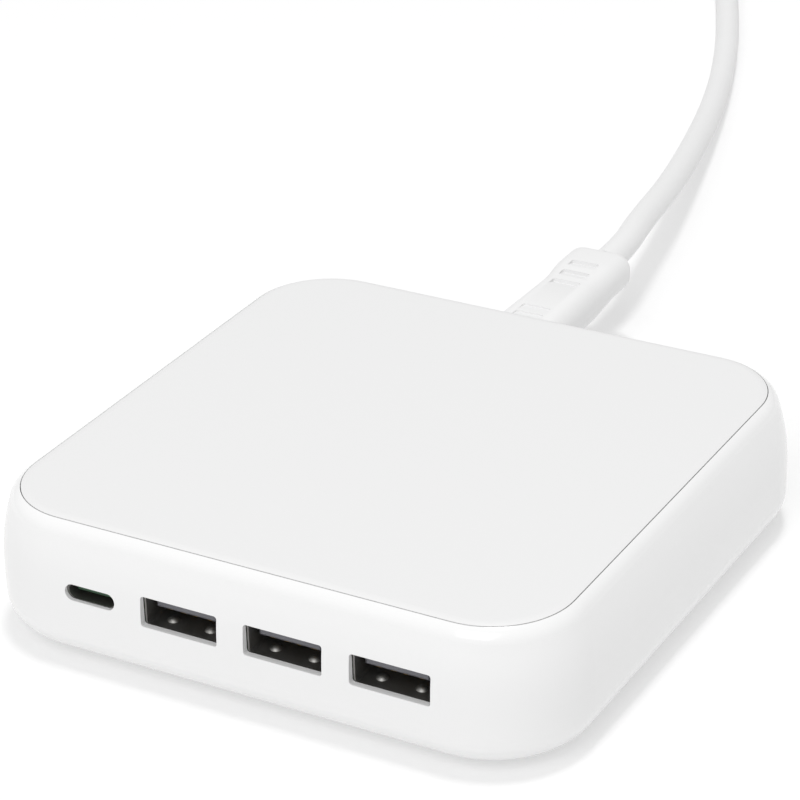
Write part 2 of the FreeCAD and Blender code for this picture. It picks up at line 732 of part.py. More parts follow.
def cord_path(points):
    """Straight runs joined by the largest tangent arcs that they allow, and the arcs' radii."""
    edges = []
    radii = []
    here = points[0]
    for before, corner, after in zip(points, points[1:], points[2:]):
        back = (before - corner).normalize()
        ahead = (after - corner).normalize()
        half_turn = (math.pi - back.getAngle(ahead)) / 2
        reach = ARC_SHARE * min(corner.distanceToPoint(before), corner.distanceToPoint(after))
        radius = reach / math.tan(half_turn)
        start = corner + back * reach
        end = corner + ahead * reach
        inward = (back + ahead).normalize()
        middle = corner + inward * (radius / math.cos(half_turn) - radius)
        edges.append(Part.LineSegment(here, start).toShape())
        edges.append(Part.Arc(start, middle, end).toShape())
        radii.append(radius)
        here = end
    edges.append(Part.LineSegment(here, points[-1]).toShape())
    return Part.Wire(edges), radii


def cord_tube(name, points):
    """Round cord along a route, with its length, radii and volume told."""
    path, radii = cord_path(points)
    start = points[1] - points[0]
    ring = Part.Wire([Part.Circle(points[0], start, CORD_D / 2).toShape()])
    tube = path.makePipeShell([ring], True, True)
    told = path.Length * math.pi * CORD_D ** 2 / 4
    print(name, "length", round(path.Length, 1), "volume", round(tube.Volume, 1), "of", round(told, 1))
    print(name, "radii", [round(r, 1) for r in radii])
    return tube


def lead_points():
    """Route from the connector to the coil: straight out, down to the floor, then along it."""
    out = V(INLET_X, CONNECTOR_END, INLET_Z + GRIP_LEVEL)
    return [out, out + AXIS_Y * CORD_OUT] + [V(*p) for p in LEAD_ROUTE]


def coil_inward():
    """Direction from the end of the lead to the middle of the coil, square to the lead."""
    points = lead_points()
    run = (points[-1] - points[-2]).normalize()
    return V(run.y, -run.x, 0)


def coil_middle():
    """Middle of the coil on the floor."""
    middle = lead_points()[-1] + coil_inward() * COIL_OUT_R
    return V(middle.x, middle.y, 0)


def coil_section(grow):
    """Section through the turns on one side of the coil, grown by grow."""
    width = COIL_OUT_R - COIL_IN_R + CORD_D + 2 * grow
    height = COIL_TOP - TIE_T + 2 * grow
    centre = coil_middle() + V((COIL_OUT_R + COIL_IN_R) / 2, 0, (COIL_TOP + TIE_T) / 2)
    return Part.Face(rounded_wire(width, height, COIL_EDGE_R + grow, centre, AXIS_X, AXIS_Z))


def sector(start, sweep, r0, r1, z0, z1):
    """Part of a ring round the coil's middle."""
    middle = coil_middle()
    wedge = Part.makeCylinder(r1, z1 - z0, V(middle.x, middle.y, z0), AXIS_Z, sweep)
    wedge = wedge.cut(Part.makeCylinder(r0, z1 - z0, V(middle.x, middle.y, z0)))
    wedge.rotate(middle, AXIS_Z, start)
    return wedge


def cord_coil():
    """Wound cord as one ring, stepped where the first turn starts and the last one ends."""
    ring = coil_section(0).revolve(coil_middle(), AXIS_Z, 360)
    inward = coil_inward()
    angle = math.degrees(math.atan2(-inward.y, -inward.x))
    outer = COIL_OUT_R + CORD_D
    inner = COIL_OUT_R - CORD_D / 2 - NOTCH_GAP
    lower_top = CORD_D + TIE_T + NOTCH_GAP
    upper_low = COIL_TOP - CORD_D - NOTCH_GAP
    first = sector(angle, NOTCH_SWEEP, inner, outer, 0, lower_top)
    last = sector(TAIL_ANGLE - NOTCH_SWEEP, NOTCH_SWEEP, inner, outer, upper_low, COIL_TOP + CUT_PAST)
    return ring.cut([first, last])


def coil_tie():
    """Strap round the turns."""
    middle = coil_middle()
    band = coil_section(TIE_T).cut(coil_section(0))
    sweep = math.degrees(TIE_W / (COIL_OUT_R + CORD_D / 2))
    strap = band.revolve(middle, AXIS_Z, sweep)
    strap.rotate(middle, AXIS_Z, TIE_ANGLE - sweep / 2)
    return strap


def tail_points():
    """Route from the last turn to the plug."""
    middle = coil_middle()
    turn = math.radians(TAIL_ANGLE)
    level = COIL_TOP - CORD_D / 2
    out = middle + V(COIL_OUT_R * math.cos(turn), COIL_OUT_R * math.sin(turn), level)
    heading = V(math.sin(turn), -math.cos(turn), 0)
    return [out, out + heading * TAIL_OUT] + [V(*p) for p in TAIL_ROUTE]


def place_plug(shape):
    """Move a shape drawn along +Y from the cord's end to where the plug lies."""
    points = tail_points()
    run = points[-1] - points[-2]
    turned = shape.copy()
    turned.rotate(ORIGIN, AXIS_Z, math.degrees(math.atan2(-run.x, run.y)))
    turned.translate(points[-1])
    return turned


def plug_pin_x():
    """Places of the plug's two pins."""
    return [-PLUG_PIN_PITCH / 2, PLUG_PIN_PITCH / 2]


def plug_body():
    """Flat moulded plug that widens from the cord to its pins."""
    def outline(y, width, height, radius):
        return rounded_wire(width, height, radius, V(0, y, 0), AXIS_X, AXIS_Z)

    stations = [
        outline(0, PLUG_NECK_W, PLUG_NECK_H, PLUG_NECK_R),
        outline(PLUG_WAIST_AT, PLUG_WAIST_W, PLUG_WAIST_H, PLUG_NECK_R),
        outline(PLUG_L - PLUG_HEAD, PLUG_W, PLUG_H, PLUG_EDGE_R),
        outline(PLUG_L, PLUG_W, PLUG_H, PLUG_EDGE_R),
    ]
    body = Part.makeLoft(stations, True, True)
    bore = PLUG_PIN_SHANK_D + 2 * PIN_FIT
    bores = [cylinder_y(x, 0, PLUG_L - PLUG_PIN_SUNK, PLUG_L, bore) for x in plug_pin_x()]
    return place_plug(body.cut(bores))


def plug_pins():
    """Two pins, thinner where their sleeves are."""
    pins = []
    for x in plug_pin_x():
        tip = PLUG_L + PLUG_PIN_L
        shank = cylinder_y(x, 0, PLUG_L - PLUG_PIN_SUNK, PLUG_L + PIN_SLEEVE_L, PLUG_PIN_SHANK_D)
        bare = cylinder_y(x, 0, PLUG_L + PIN_SLEEVE_L, tip, PLUG_PIN_D)
        end = [e for e in bare.Edges if e.BoundBox.YMin > tip - NEAR]
        pins.append(fuse([shank, bare.makeFillet(PLUG_PIN_TIP_R, end)]))
    return place_plug(Part.makeCompound(pins))


def pin_sleeves():
    """Insulating sleeves at the roots of the plug's pins."""
    sleeves = []
    for x in plug_pin_x():
        tube = cylinder_y(x, 0, PLUG_L, PLUG_L + PIN_SLEEVE_L, PIN_SLEEVE_D)
        bore = cylinder_y(x, 0, PLUG_L, PLUG_L + PIN_SLEEVE_L, PLUG_PIN_SHANK_D + 2 * PIN_FIT)
        sleeves.append(tube.cut(bore))
    return place_plug(Part.makeCompound(sleeves))


def fuse_link():
    """Upright cartridge fuse beside the inlet."""
    x = INLET_X - INLET_W / 2 - FUSE_OUT
    return post(x, BOARD_Y - FUSE_IN, BOARD_TOP, BOARD_TOP + FUSE_H, FUSE_D)


def x_capacitor():
    """Box capacitor across the mains."""
    return block(-BOARD_X + X_CAP_AT[0], BOARD_Y - X_CAP_AT[1], BOARD_TOP, X_CAP)


def choke_ring(r0, r1, z0, z1, sweep):
    """Ring, or part of one, of the choke."""
    foot = V(CHOKE_X, CHOKE_Y, z0)
    ring = Part.makeCylinder(r1, z1 - z0, foot, AXIS_Z, sweep)
    return ring.cut(Part.makeCylinder(r0, z1 - z0, foot))


def choke_core():
    """Ferrite ring."""
    low = BOARD_TOP + CHOKE_COVER
    return choke_ring(CHOKE_BORE_R, CHOKE_R, low, low + CHOKE_H, 360)


def choke_windings():
    """Two wound sectors round the ferrite ring."""
    low = BOARD_TOP
    high = BOARD_TOP + CHOKE_H + 2 * CHOKE_COVER
    outer = choke_ring(CHOKE_BORE_R - CHOKE_COVER, CHOKE_R + CHOKE_COVER, low, high, CHOKE_ARC)
    core = choke_ring(CHOKE_BORE_R - CHOKE_GAP, CHOKE_R + CHOKE_GAP, low + CHOKE_WIRE, high - CHOKE_WIRE, 360)
    first = outer.cut(core)
    second = first.copy()
    second.rotate(V(CHOKE_X, CHOKE_Y, 0), AXIS_Z, 180)
    return Part.makeCompound([first, second])


def bridge_rectifier():
    """Upright bridge rectifier on its legs."""
    low = BOARD_TOP + BRIDGE_LEG_H
    pieces = [block(INLET_X, BRIDGE_Y, low, BRIDGE)]
    for k in range(BRIDGE_LEGS):
        x = INLET_X + (k - (BRIDGE_LEGS - 1) / 2) * BRIDGE_LEG_PITCH
        pieces.append(post(x, BRIDGE_Y, BOARD_TOP, low, LEG_D))
    return fuse(pieces)


def bulk_capacitor(k):
    """Can that lies on the board, rolled in near its seal."""
    y = BOARD_Y - BULK_AT[1] - k * (BULK_D + BULK_APART)
    can = Part.makeCylinder(BULK_D / 2, BULK_L, V(BULK_LEFT, y, BOARD_TOP + BULK_D / 2), AXIS_X)
    ends = [e for e in can.Edges if e.BoundBox.XLength < BULK_EDGE]
    return can.makeFillet(BULK_EDGE, ends)


def core_half(upper):
    """One ferrite half: plate, two outer legs and half of the round post."""
    z0, z1 = (CORE_MIDDLE, CORE_TOP) if upper else (BOARD_TOP, CORE_MIDDLE)
    plate_low = BOBBIN_TOP if upper else BOARD_TOP
    pieces = [block(CORE_X, CORE_Y, plate_low, (CORE_W, CORE_D, CORE_PLATE))]
    for side in (-1, 1):
        x = CORE_X + side * (CORE_W - CORE_LEG) / 2
        pieces.append(block(x, CORE_Y, z0, (CORE_LEG, CORE_D, z1 - z0)))
    pieces.append(post(CORE_X, CORE_Y, z0, z1, POST_D))
    return fuse(pieces)


def transformer_bobbin():
    """Spool on the core's post."""
    bore = POST_D + 2 * BOBBIN_GAP
    spool = [
        post(CORE_X, CORE_Y, BOBBIN_LOW, BOBBIN_TOP, bore + 2 * BOBBIN_T),
        post(CORE_X, CORE_Y, BOBBIN_LOW, BOBBIN_LOW + BOBBIN_T, 2 * FLANGE_R),
        post(CORE_X, CORE_Y, BOBBIN_TOP - BOBBIN_T, BOBBIN_TOP, 2 * FLANGE_R),
    ]
    return fuse(spool).cut(post(CORE_X, CORE_Y, BOBBIN_LOW, BOBBIN_TOP, bore))


def transformer_winding():
    """Copper wound on the spool."""
    z0 = BOBBIN_LOW + BOBBIN_T
    z1 = BOBBIN_TOP - BOBBIN_T
    wound = post(CORE_X, CORE_Y, z0, z1, 2 * WINDING_R)
    return wound.cut(post(CORE_X, CORE_Y, z0, z1, POST_D + 2 * BOBBIN_GAP + 2 * BOBBIN_T))


def heat_spreader():
    """Bent sheet over the transformer, standing on the board."""
    height = CORE_TOP + PAD_T - BOARD_TOP
    half = FLANGE_R + SPREADER_GAP
    outer = (SPREADER_W, 2 * (half + SPREADER_T), height + SPREADER_T)
    inner = (SPREADER_W, 2 * half, height)
    return block(CORE_X, CORE_Y, BOARD_TOP, outer).cut(block(CORE_X, CORE_Y, BOARD_TOP, inner))


def thermal_pad():
    """Soft pad between the core and the heat spreader."""
    return block(CORE_X, CORE_Y, CORE_TOP, (SPREADER_W, CORE_D, PAD_T))


def y_capacitor():
    """Upright disc on two legs."""
    x = CORE_X + Y_CAP_FROM_CORE[0]
    y = CORE_Y + Y_CAP_FROM_CORE[1]
    centre = V(x - Y_CAP_T / 2, y, BOARD_TOP + Y_CAP_LEG + Y_CAP_D / 2)
    disc = Part.makeCylinder(Y_CAP_D / 2, Y_CAP_T, centre, AXIS_X)
    legs = [post(x, y + side * Y_CAP_D / 4, BOARD_TOP, centre.z, LEG_D) for side in (-1, 1)]
    return fuse([disc] + legs)


def output_capacitor(x):
    """Upright polymer can."""
    can = post(x, OUT_CAP_Y, BOARD_TOP, BOARD_TOP + OUT_CAP_H, OUT_CAP_D)
    ends = [e for e in can.Edges if e.BoundBox.ZMin > BOARD_TOP + OUT_CAP_H - OUT_CAP_EDGE]
    return can.makeFillet(OUT_CAP_EDGE, ends)


def output_inductor(x):
    """Moulded inductor with chamfered corners."""
    brick = block(x, PORT_BOARD_BACK + INDUCTOR_BACK, BOARD_TOP, INDUCTOR)
    upright = [e for e in brick.Edges if e.BoundBox.ZLength > INDUCTOR_EDGE]
    return brick.makeChamfer(INDUCTOR_EDGE, upright)


def port_controllers():
    """One chip for each output, on the back of the port board."""
    width, depth, height = PORT_CHIP
    chips = []
    for x in CHANNEL_X:
        low = PORT_CHIP_Z - height / 2
        chips.append(block(x, PORT_BOARD_BACK + depth / 2, low, PORT_CHIP))
    return Part.makeCompound(chips)


def chip(x, y, size):
    """Flat chip on the main board, y counted from the transformer's middle."""
    return block(x, CORE_Y + y, BOARD_TOP, size)


def build():
    """All sub-parts by name."""
    parts = {
        "lower_housing": lower_housing(),
        "top_cover": top_cover(),
        "insulation_sheet": insulation_sheet(),
        "main_board": main_board(),
        "port_board": port_board(),
        "usb_c_shell": usb_c_shell(),
        "usb_c_insulator": usb_c_insulator(),
        "usb_c_contacts": Part.makeCompound(usb_c_fingers(0)),
        "inlet_housing": inlet_housing(),
        "inlet_pins": inlet_pins(),
        "fuse": fuse_link(),
        "x_capacitor": x_capacitor(),
        "choke_core": choke_core(),
        "choke_windings": choke_windings(),
        "bridge_rectifier": bridge_rectifier(),
        "gan_switch": chip(SWITCH_IN - BOARD_X, SWITCH_FROM_CORE, SWITCH),
        "primary_controller": chip(CONTROLLER_IN - BOARD_X, CONTROLLER_FROM_CORE, CONTROLLER),
        "sync_rectifier": chip(CORE_X + RECTIFIER_FROM_CORE[0], RECTIFIER_FROM_CORE[1], RECTIFIER),
        "transformer_core_lower": core_half(False),
        "transformer_core_upper": core_half(True),
        "transformer_bobbin": transformer_bobbin(),
        "transformer_winding": transformer_winding(),
        "heat_spreader": heat_spreader(),
        "thermal_pad": thermal_pad(),
        "y_capacitor": y_capacitor(),
        "port_controllers": port_controllers(),
        "mains_connector": mains_connector(),
        "connector_contacts": connector_contacts(),
        "mains_cord": cord_tube("mains_cord", lead_points()),
        "cord_coil": cord_coil(),
        "coil_tie": coil_tie(),
        "cord_tail": cord_tube("cord_tail", tail_points()),
        "plug_body": plug_body(),
        "plug_pins": plug_pins(),
        "pin_sleeves": pin_sleeves(),
    }
    places = ("front_left", "front_right", "rear_left", "rear_right")
    for place, (x, y) in zip(places, corners(FOOT_INSET)):
        parts["foot_" + place] = foot(x, y)
    for k, x in enumerate(USB_A_X, 1):
        parts["usb_a_shell_%d" % k] = usb_a_shell(x)
        parts["usb_a_insulator_%d" % k] = usb_a_insulator(x)
        parts["usb_a_contacts_%d" % k] = Part.makeCompound(usb_a_strips(x, 0))
    for k in range(BULK_COUNT):
        parts["bulk_capacitor_%d" % (k + 1)] = bulk_capacitor(k)
    for k, x in enumerate(CHANNEL_X, 1):
        parts["output_capacitor_%d" % k] = output_capacitor(x)
        parts["output_inductor_%d" % k] = output_inductor(x)
    return parts


os.makedirs("parts", exist_ok=True)
for name, shape in build().items():
    shape.exportStep("parts/%s.step" % name)
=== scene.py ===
"""Looks of a desktop charger and its mains lead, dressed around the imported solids.

Everything is in metres and in the frame of the solids: +Z is up, the ports look along -Y and
the feet stand on z = 0.
"""

from __future__ import annotations

import logging
import math
from dataclasses import dataclass, field
from enum import Enum, IntEnum
from typing import Callable

import bpy
from mathutils import Matrix, Vector

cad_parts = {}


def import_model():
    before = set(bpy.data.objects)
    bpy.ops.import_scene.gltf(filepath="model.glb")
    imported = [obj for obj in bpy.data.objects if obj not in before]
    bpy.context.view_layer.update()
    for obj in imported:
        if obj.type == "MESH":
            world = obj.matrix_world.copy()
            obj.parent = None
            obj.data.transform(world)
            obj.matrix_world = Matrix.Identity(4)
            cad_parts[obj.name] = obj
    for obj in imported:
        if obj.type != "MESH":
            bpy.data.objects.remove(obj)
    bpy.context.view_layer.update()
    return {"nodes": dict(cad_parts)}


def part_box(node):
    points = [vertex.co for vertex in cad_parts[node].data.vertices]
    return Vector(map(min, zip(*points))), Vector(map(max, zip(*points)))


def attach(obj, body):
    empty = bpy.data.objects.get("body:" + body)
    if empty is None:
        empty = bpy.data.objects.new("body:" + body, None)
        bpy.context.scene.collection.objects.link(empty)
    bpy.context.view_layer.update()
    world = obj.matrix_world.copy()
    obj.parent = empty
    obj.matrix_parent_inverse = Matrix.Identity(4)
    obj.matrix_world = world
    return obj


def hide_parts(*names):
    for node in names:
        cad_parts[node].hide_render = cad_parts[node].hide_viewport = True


MM = 0.001
BODY = "root"
# How far a cutting tool reaches past the surface that it cuts
CUT_PAST = 1.0 * MM
# Edges sharper than this many degrees stay crisp
CREASE = 40.0
# A face looks along an axis where its normal's share of that axis is above this
LOOKS_ALONG = 0.9
# Facets of a moulded corner, of a groove's corner and of a round bore
CORNER_FACETS = 8
GROOVE_FACETS = 5
BORE_FACETS = 32
# Length after which a wave texture repeats, and height of a brick texture's row, both at scale 1
WAVE_REPEAT = 2 * math.pi / 20
BRICK_ROW = 0.25
# Stretch in which nearly all of a noise texture's values lie
NOISE_LOW = 0.3
NOISE_HIGH = 0.7
# Detail of the noise that makes the fine grain and the slow drift
GRAIN_DETAIL = 3.0
DRIFT_DETAIL = 2.0
# Numbers of a Mix node's colour sockets, which share their names with its other sockets
MIX_FIRST = 6
MIX_SECOND = 7
MIX_RESULT = 2

log = logging.getLogger("charger")

Sockets = dict[str | int, object]
Point = tuple[float, float, float]


def linear(code: str) -> tuple[float, float, float, float]:
    """Turn an sRGB hex colour into linear RGBA.

    Args:
        code: Six hex digits, such as "F2F2F0".

    Returns:
        Linear red, green, blue and full alpha.
    """
    channels = []
    for start in (0, 2, 4):
        value = int(code[start:start + 2], 16) / 255
        channels.append(value / 12.92 if value <= 0.04045 else ((value + 0.055) / 1.055) ** 2.4)
    return (channels[0], channels[1], channels[2], 1.0)


def per_metre(size_mm: float) -> float:
    """Texture scale whose features measure size_mm on Object coordinates."""
    return 1.0 / (size_mm * MM)


def bands_per_metre(size_mm: float) -> float:
    """Wave texture scale whose bands lie size_mm apart on Object coordinates."""
    return per_metre(size_mm) * WAVE_REPEAT


def add_node(tree: bpy.types.NodeTree, kind: str, sockets: Sockets, **settings: object) -> bpy.types.Node:
    """Add a node with its settings, socket values and links.

    Args:
        tree: Tree that takes the node.
        kind: Blender's name of the node type.
        sockets: Value or output socket for each named or numbered input.
        **settings: Attributes of the node.

    Returns:
        The new node.
    """
    node = tree.nodes.new(kind)
    for name, value in settings.items():
        setattr(node, name, value)
    for key, value in sockets.items():
        if isinstance(value, bpy.types.NodeSocket):
            tree.links.new(value, node.inputs[key])
        else:
            node.inputs[key].default_value = value
    return node


class Grain(Enum):
    """Which way a surface's fine grain runs."""

    EVEN = (1.0, 1.0, 1.0)
    ALONG_X = (0.06, 1.0, 1.0)
    ALONG_Y = (1.0, 0.06, 1.0)


class Axis(Enum):
    """Axis along which bands follow each other."""

    X = "X"
    Y = "Y"
    Z = "Z"


class Side(IntEnum):
    """Face of the connector, as the sign of its normal along Z."""

    TOP = 1
    UNDERSIDE = -1


@dataclass(frozen=True)
class Finish:
    """A material and the way its surface was made.

    Attributes:
        name: Common name of the material and its making.
        colour: Main colour, sRGB hex.
        tone: Colour that the main one drifts towards, sRGB hex.
        roughness: Middle roughness.
        spread: How far the roughness wanders either way.
        grain_mm: Size of the fine grain.
        depth_mm: Height of the fine grain.
        drift_mm: Size of the slow drift in colour and roughness.
        grain: Which way the grain runs.
        ior: Index of refraction.
        metallic: 1 for bare metal.
        alpha: 1 for a solid, less for film.
        glow: Light that it gives off by itself.
    """

    name: str
    colour: str
    tone: str
    roughness: float
    spread: float
    grain_mm: float
    depth_mm: float
    drift_mm: float
    grain: Grain = Grain.EVEN
    ior: float = 1.5
    metallic: float = 0.0
    alpha: float = 1.0
    glow: float = 0.0

    def height(self, tree: bpy.types.NodeTree, place: bpy.types.NodeSocket) -> bpy.types.NodeSocket:
        """Height field of the fine grain.

        Args:
            tree: Tree of the material.
            place: Object coordinates.

        Returns:
            Socket with the height, about 0 to 1.
        """
        turned = add_node(tree, "ShaderNodeMapping", {"Vector": place, "Scale": self.grain.value})
        noise = add_node(tree, "ShaderNodeTexNoise", {
            "Vector": turned.outputs["Vector"], "Scale": per_metre(self.grain_mm), "Detail": GRAIN_DETAIL})
        return noise.outputs["Fac"]

    def colouring(self, tree: bpy.types.NodeTree, place: bpy.types.NodeSocket,
                  drift: bpy.types.NodeSocket) -> bpy.types.NodeSocket:
        """Colour over the surface.

        Args:
            tree: Tree of the material.
            place: Object coordinates.
            drift: Slow noise.

        Returns:
            Socket with the colour.
        """
        mix = add_node(tree, "ShaderNodeMix", {
            "Factor": drift, MIX_FIRST: linear(self.colour), MIX_SECOND: linear(self.tone)},
            data_type="RGBA")
        return mix.outputs[MIX_RESULT]

    def build(self) -> bpy.types.Material:
        """Make the Blender material.

        Returns:
            The material, with its colour, roughness and grain.
        """
        material = bpy.data.materials.new(self.name)
        material.use_nodes = True
        tree = material.node_tree
        shader = tree.nodes["Principled BSDF"]
        place = add_node(tree, "ShaderNodeTexCoord", {}).outputs["Object"]
        drift = add_node(tree, "ShaderNodeTexNoise", {
            "Vector": place, "Scale": per_metre(self.drift_mm), "Detail": DRIFT_DETAIL}).outputs["Fac"]
        gloss = add_node(tree, "ShaderNodeMapRange", {
            "Value": drift, "From Min": NOISE_LOW, "From Max": NOISE_HIGH,
            "To Min": self.roughness - self.spread, "To Max": self.roughness + self.spread})
        bump = add_node(tree, "ShaderNodeBump", {
            "Height": self.height(tree, place), "Distance": self.depth_mm * MM, "Strength": 1.0})
        tree.links.new(self.colouring(tree, place, drift), shader.inputs["Base Color"])
        tree.links.new(gloss.outputs["Result"], shader.inputs["Roughness"])
        tree.links.new(bump.outputs["Normal"], shader.inputs["Normal"])
        shader.inputs["Metallic"].default_value = self.metallic
        shader.inputs["Alpha"].default_value = self.alpha
        shader.inputs["Emission Color"].default_value = linear(self.colour)
        shader.inputs["Emission Strength"].default_value = self.glow
        if not self.metallic:
            shader.inputs["IOR"].default_value = self.ior
        return material


@dataclass(frozen=True)
class WovenStrap(Finish):
    """Narrow woven strap: ribs across it, with a warp thread between them.

    Attributes:
        thread_mm: Distance between threads.
        waver: How far the threads stray from straight lines.
    """

    thread_mm: float = 0.9
    waver: float = 0.6

    def height(self, tree: bpy.types.NodeTree, place: bpy.types.NodeSocket) -> bpy.types.NodeSocket:
        """Height field of crossing threads, from two sets of bands.

        Args:
            tree: Tree of the material.
            place: Object coordinates.

        Returns:
            Socket with the height, 0 to 1.
        """
        scale = bands_per_metre(self.thread_mm)
        waves = []
        for axis in (Axis.X, Axis.Y):
            wave = add_node(tree, "ShaderNodeTexWave", {
                "Vector": place, "Scale": scale, "Distortion": self.waver},
                wave_type="BANDS", bands_direction=axis.value)
            waves.append(wave.outputs["Fac"])
        both = add_node(tree, "ShaderNodeMath", {0: waves[0], 1: waves[1]}, operation="MULTIPLY")
        return both.outputs["Value"]


@dataclass(frozen=True)
class WoundWire(Finish):
    """Enamelled wire wound side by side.

    Attributes:
        wire_mm: Thickness of the wire.
        bands: Axis along which the turns follow each other.
    """

    wire_mm: float = 0.6
    bands: Axis = Axis.Z

    def height(self, tree: bpy.types.NodeTree, place: bpy.types.NodeSocket) -> bpy.types.NodeSocket:
        """Height field of turns that lie a wire apart."""
        wave = add_node(tree, "ShaderNodeTexWave", {
            "Vector": place, "Scale": bands_per_metre(self.wire_mm)},
            wave_type="BANDS", bands_direction=self.bands.value)
        return wave.outputs["Fac"]


@dataclass(frozen=True)
class SolderMask(Finish):
    """Lacquered board with copper tracks that show through as a lighter green.

    Attributes:
        track_mm: Distance between tracks.
        track_width: Width of a track, as a brick texture measures its mortar.
    """

    track_mm: float = 2.4
    track_width: float = 0.03

    def colouring(self, tree: bpy.types.NodeTree, place: bpy.types.NodeSocket,
                  drift: bpy.types.NodeSocket) -> bpy.types.NodeSocket:
        """Colour of tracks and bare laminate under the lacquer."""
        brick = add_node(tree, "ShaderNodeTexBrick", {
            "Vector": place, "Color1": linear(self.colour), "Color2": linear(self.colour),
            "Mortar": linear(self.tone), "Scale": BRICK_ROW * per_metre(self.track_mm),
            "Mortar Size": self.track_width})
        return brick.outputs["Color"]


# Glossy white housing: polished ABS and PC blend, with the faint orange peel of a polished mould
GLOSS_ABS = Finish(
    "polished_white_abs", "ECECEC", "EBEBEB", roughness=0.16, spread=0.02,
    grain_mm=1.6, depth_mm=0.0012, drift_mm=22.0, ior=1.53)
# Matt white lid: the same blend from a spark-eroded mould; its grain is drawn at 0.3 mm so that it shows
MATT_ABS = Finish(
    "spark_eroded_white_abs", "E2E2E2", "E1E1E1", roughness=0.55, spread=0.03,
    grain_mm=0.3, depth_mm=0.004, drift_mm=30.0, ior=1.53)
# Soft white PVC of the lead: satin, slightly uneven as extruded and moulded vinyl is
WHITE_PVC = Finish(
    "moulded_white_pvc", "E7E7E7", "E4E4E4", roughness=0.5, spread=0.05,
    grain_mm=0.8, depth_mm=0.006, drift_mm=9.0, ior=1.48)
# Moulded rubber feet: dull grey with a fine pitted skin
FOOT_RUBBER = Finish(
    "moulded_grey_rubber", "8C8C8E", "7E7E81", roughness=0.8, spread=0.06,
    grain_mm=0.35, depth_mm=0.02, drift_mm=4.0, ior=1.52)
# Clear polyester film under the board: half see-through, glossy, a little wavy
CLEAR_FILM = Finish(
    "clear_polyester_film", "E9ECEC", "E2E6E6", roughness=0.25, spread=0.05,
    grain_mm=2.0, depth_mm=0.004, drift_mm=12.0, alpha=0.6)
# Glass-epoxy board under green solder mask: dark and half glossy, with paler lines over the copper
BOARD = SolderMask(
    "green_solder_mask", "0E4A26", "1F6B3A", roughness=0.35, spread=0.05,
    grain_mm=0.6, depth_mm=0.006, drift_mm=8.0)
# Nickel plate on folded steel: satin, with faint drawing lines along the shell
NICKEL = Finish(
    "nickel_plated_steel", "A6A5A2", "979693", roughness=0.46, spread=0.05,
    grain_mm=0.25, depth_mm=0.002, drift_mm=2.0, grain=Grain.ALONG_Y, metallic=1.0)
# Liquid-crystal polymer of the sockets: dark grey, dull, with a slight flow mottle
PORT_RESIN = Finish(
    "moulded_dark_lcp", "6E6E74", "606066", roughness=0.45, spread=0.05,
    grain_mm=0.2, depth_mm=0.003, drift_mm=1.5, ior=1.6)
# The same polymer in green, as moulded for the small oval socket
GREEN_RESIN = Finish(
    "moulded_green_lcp", "2C5638", "244930", roughness=0.42, spread=0.05,
    grain_mm=0.2, depth_mm=0.003, drift_mm=1.5, ior=1.6)
# Gold-flashed contact springs: warm yellow and bright, drawn along their length
GILT = Finish(
    "gold_flashed_contact", "D9B25A", "C99F48", roughness=0.22, spread=0.04,
    grain_mm=0.15, depth_mm=0.001, drift_mm=1.0, grain=Grain.ALONG_Y, metallic=1.0)
# Black PBT of the mains inlet: moulded, dull, with a fine even grain
INLET_RESIN = Finish(
    "moulded_black_pbt", "1C1C1D", "242425", roughness=0.5, spread=0.06,
    grain_mm=0.5, depth_mm=0.006, drift_mm=5.0)
# Turned brass pins: yellow metal with fine tool marks across them
BRASS = Finish(
    "turned_brass", "C9A55C", "B8934C", roughness=0.28, spread=0.05,
    grain_mm=0.2, depth_mm=0.002, drift_mm=2.0, grain=Grain.ALONG_X, metallic=1.0)
# Black epoxy of chips, bobbin and inductors: dull, with a sandy skin
EPOXY = Finish(
    "moulded_black_epoxy", "1E1E20", "28282A", roughness=0.5, spread=0.07,
    grain_mm=0.4, depth_mm=0.006, drift_mm=3.0)
# Yellow potted box of the mains capacitor: smooth and half glossy
YELLOW_BOX = Finish(
    "potted_yellow_box", "D8A92A", "CC9C22", roughness=0.32, spread=0.05,
    grain_mm=1.2, depth_mm=0.006, drift_mm=6.0)
# Ground ferrite: dark grey, slightly glassy, with fine pits
FERRITE = Finish(
    "ground_ferrite", "35353A", "2C2C30", roughness=0.4, spread=0.08,
    grain_mm=0.25, depth_mm=0.01, drift_mm=3.0)
# Enamelled copper, wound turn by turn: shiny red-brown ridges
COPPER = WoundWire(
    "enamelled_copper_wire", "B5652B", "A3561F", roughness=0.25, spread=0.05,
    grain_mm=0.6, depth_mm=0.12, drift_mm=3.0, metallic=1.0)
# Rolled aluminium sheet: pale grey metal with rolling lines
ALUMINIUM = Finish(
    "rolled_aluminium", "C6C8CA", "BBBDBF", roughness=0.36, spread=0.06,
    grain_mm=0.3, depth_mm=0.003, drift_mm=6.0, grain=Grain.ALONG_X, metallic=1.0)
# Soft silicone pad: dull mid grey, slightly pitted
SILICONE = Finish(
    "grey_silicone_pad", "8A8E92", "7F8387", roughness=0.75, spread=0.05,
    grain_mm=0.6, depth_mm=0.01, drift_mm=3.0)
# Ceramic disc dipped in blue epoxy: glossy, with an uneven coat
BLUE_DIP = Finish(
    "dipped_blue_epoxy", "1F4C9C", "1A428A", roughness=0.3, spread=0.06,
    grain_mm=1.4, depth_mm=0.02, drift_mm=2.5)
# Shrink sleeve on the bulk capacitors: blue-black and glossy, a little wavy from shrinking
SHRINK = Finish(
    "black_shrink_sleeve", "20242E", "1A1E27", roughness=0.3, spread=0.05,
    grain_mm=1.8, depth_mm=0.008, drift_mm=7.0)
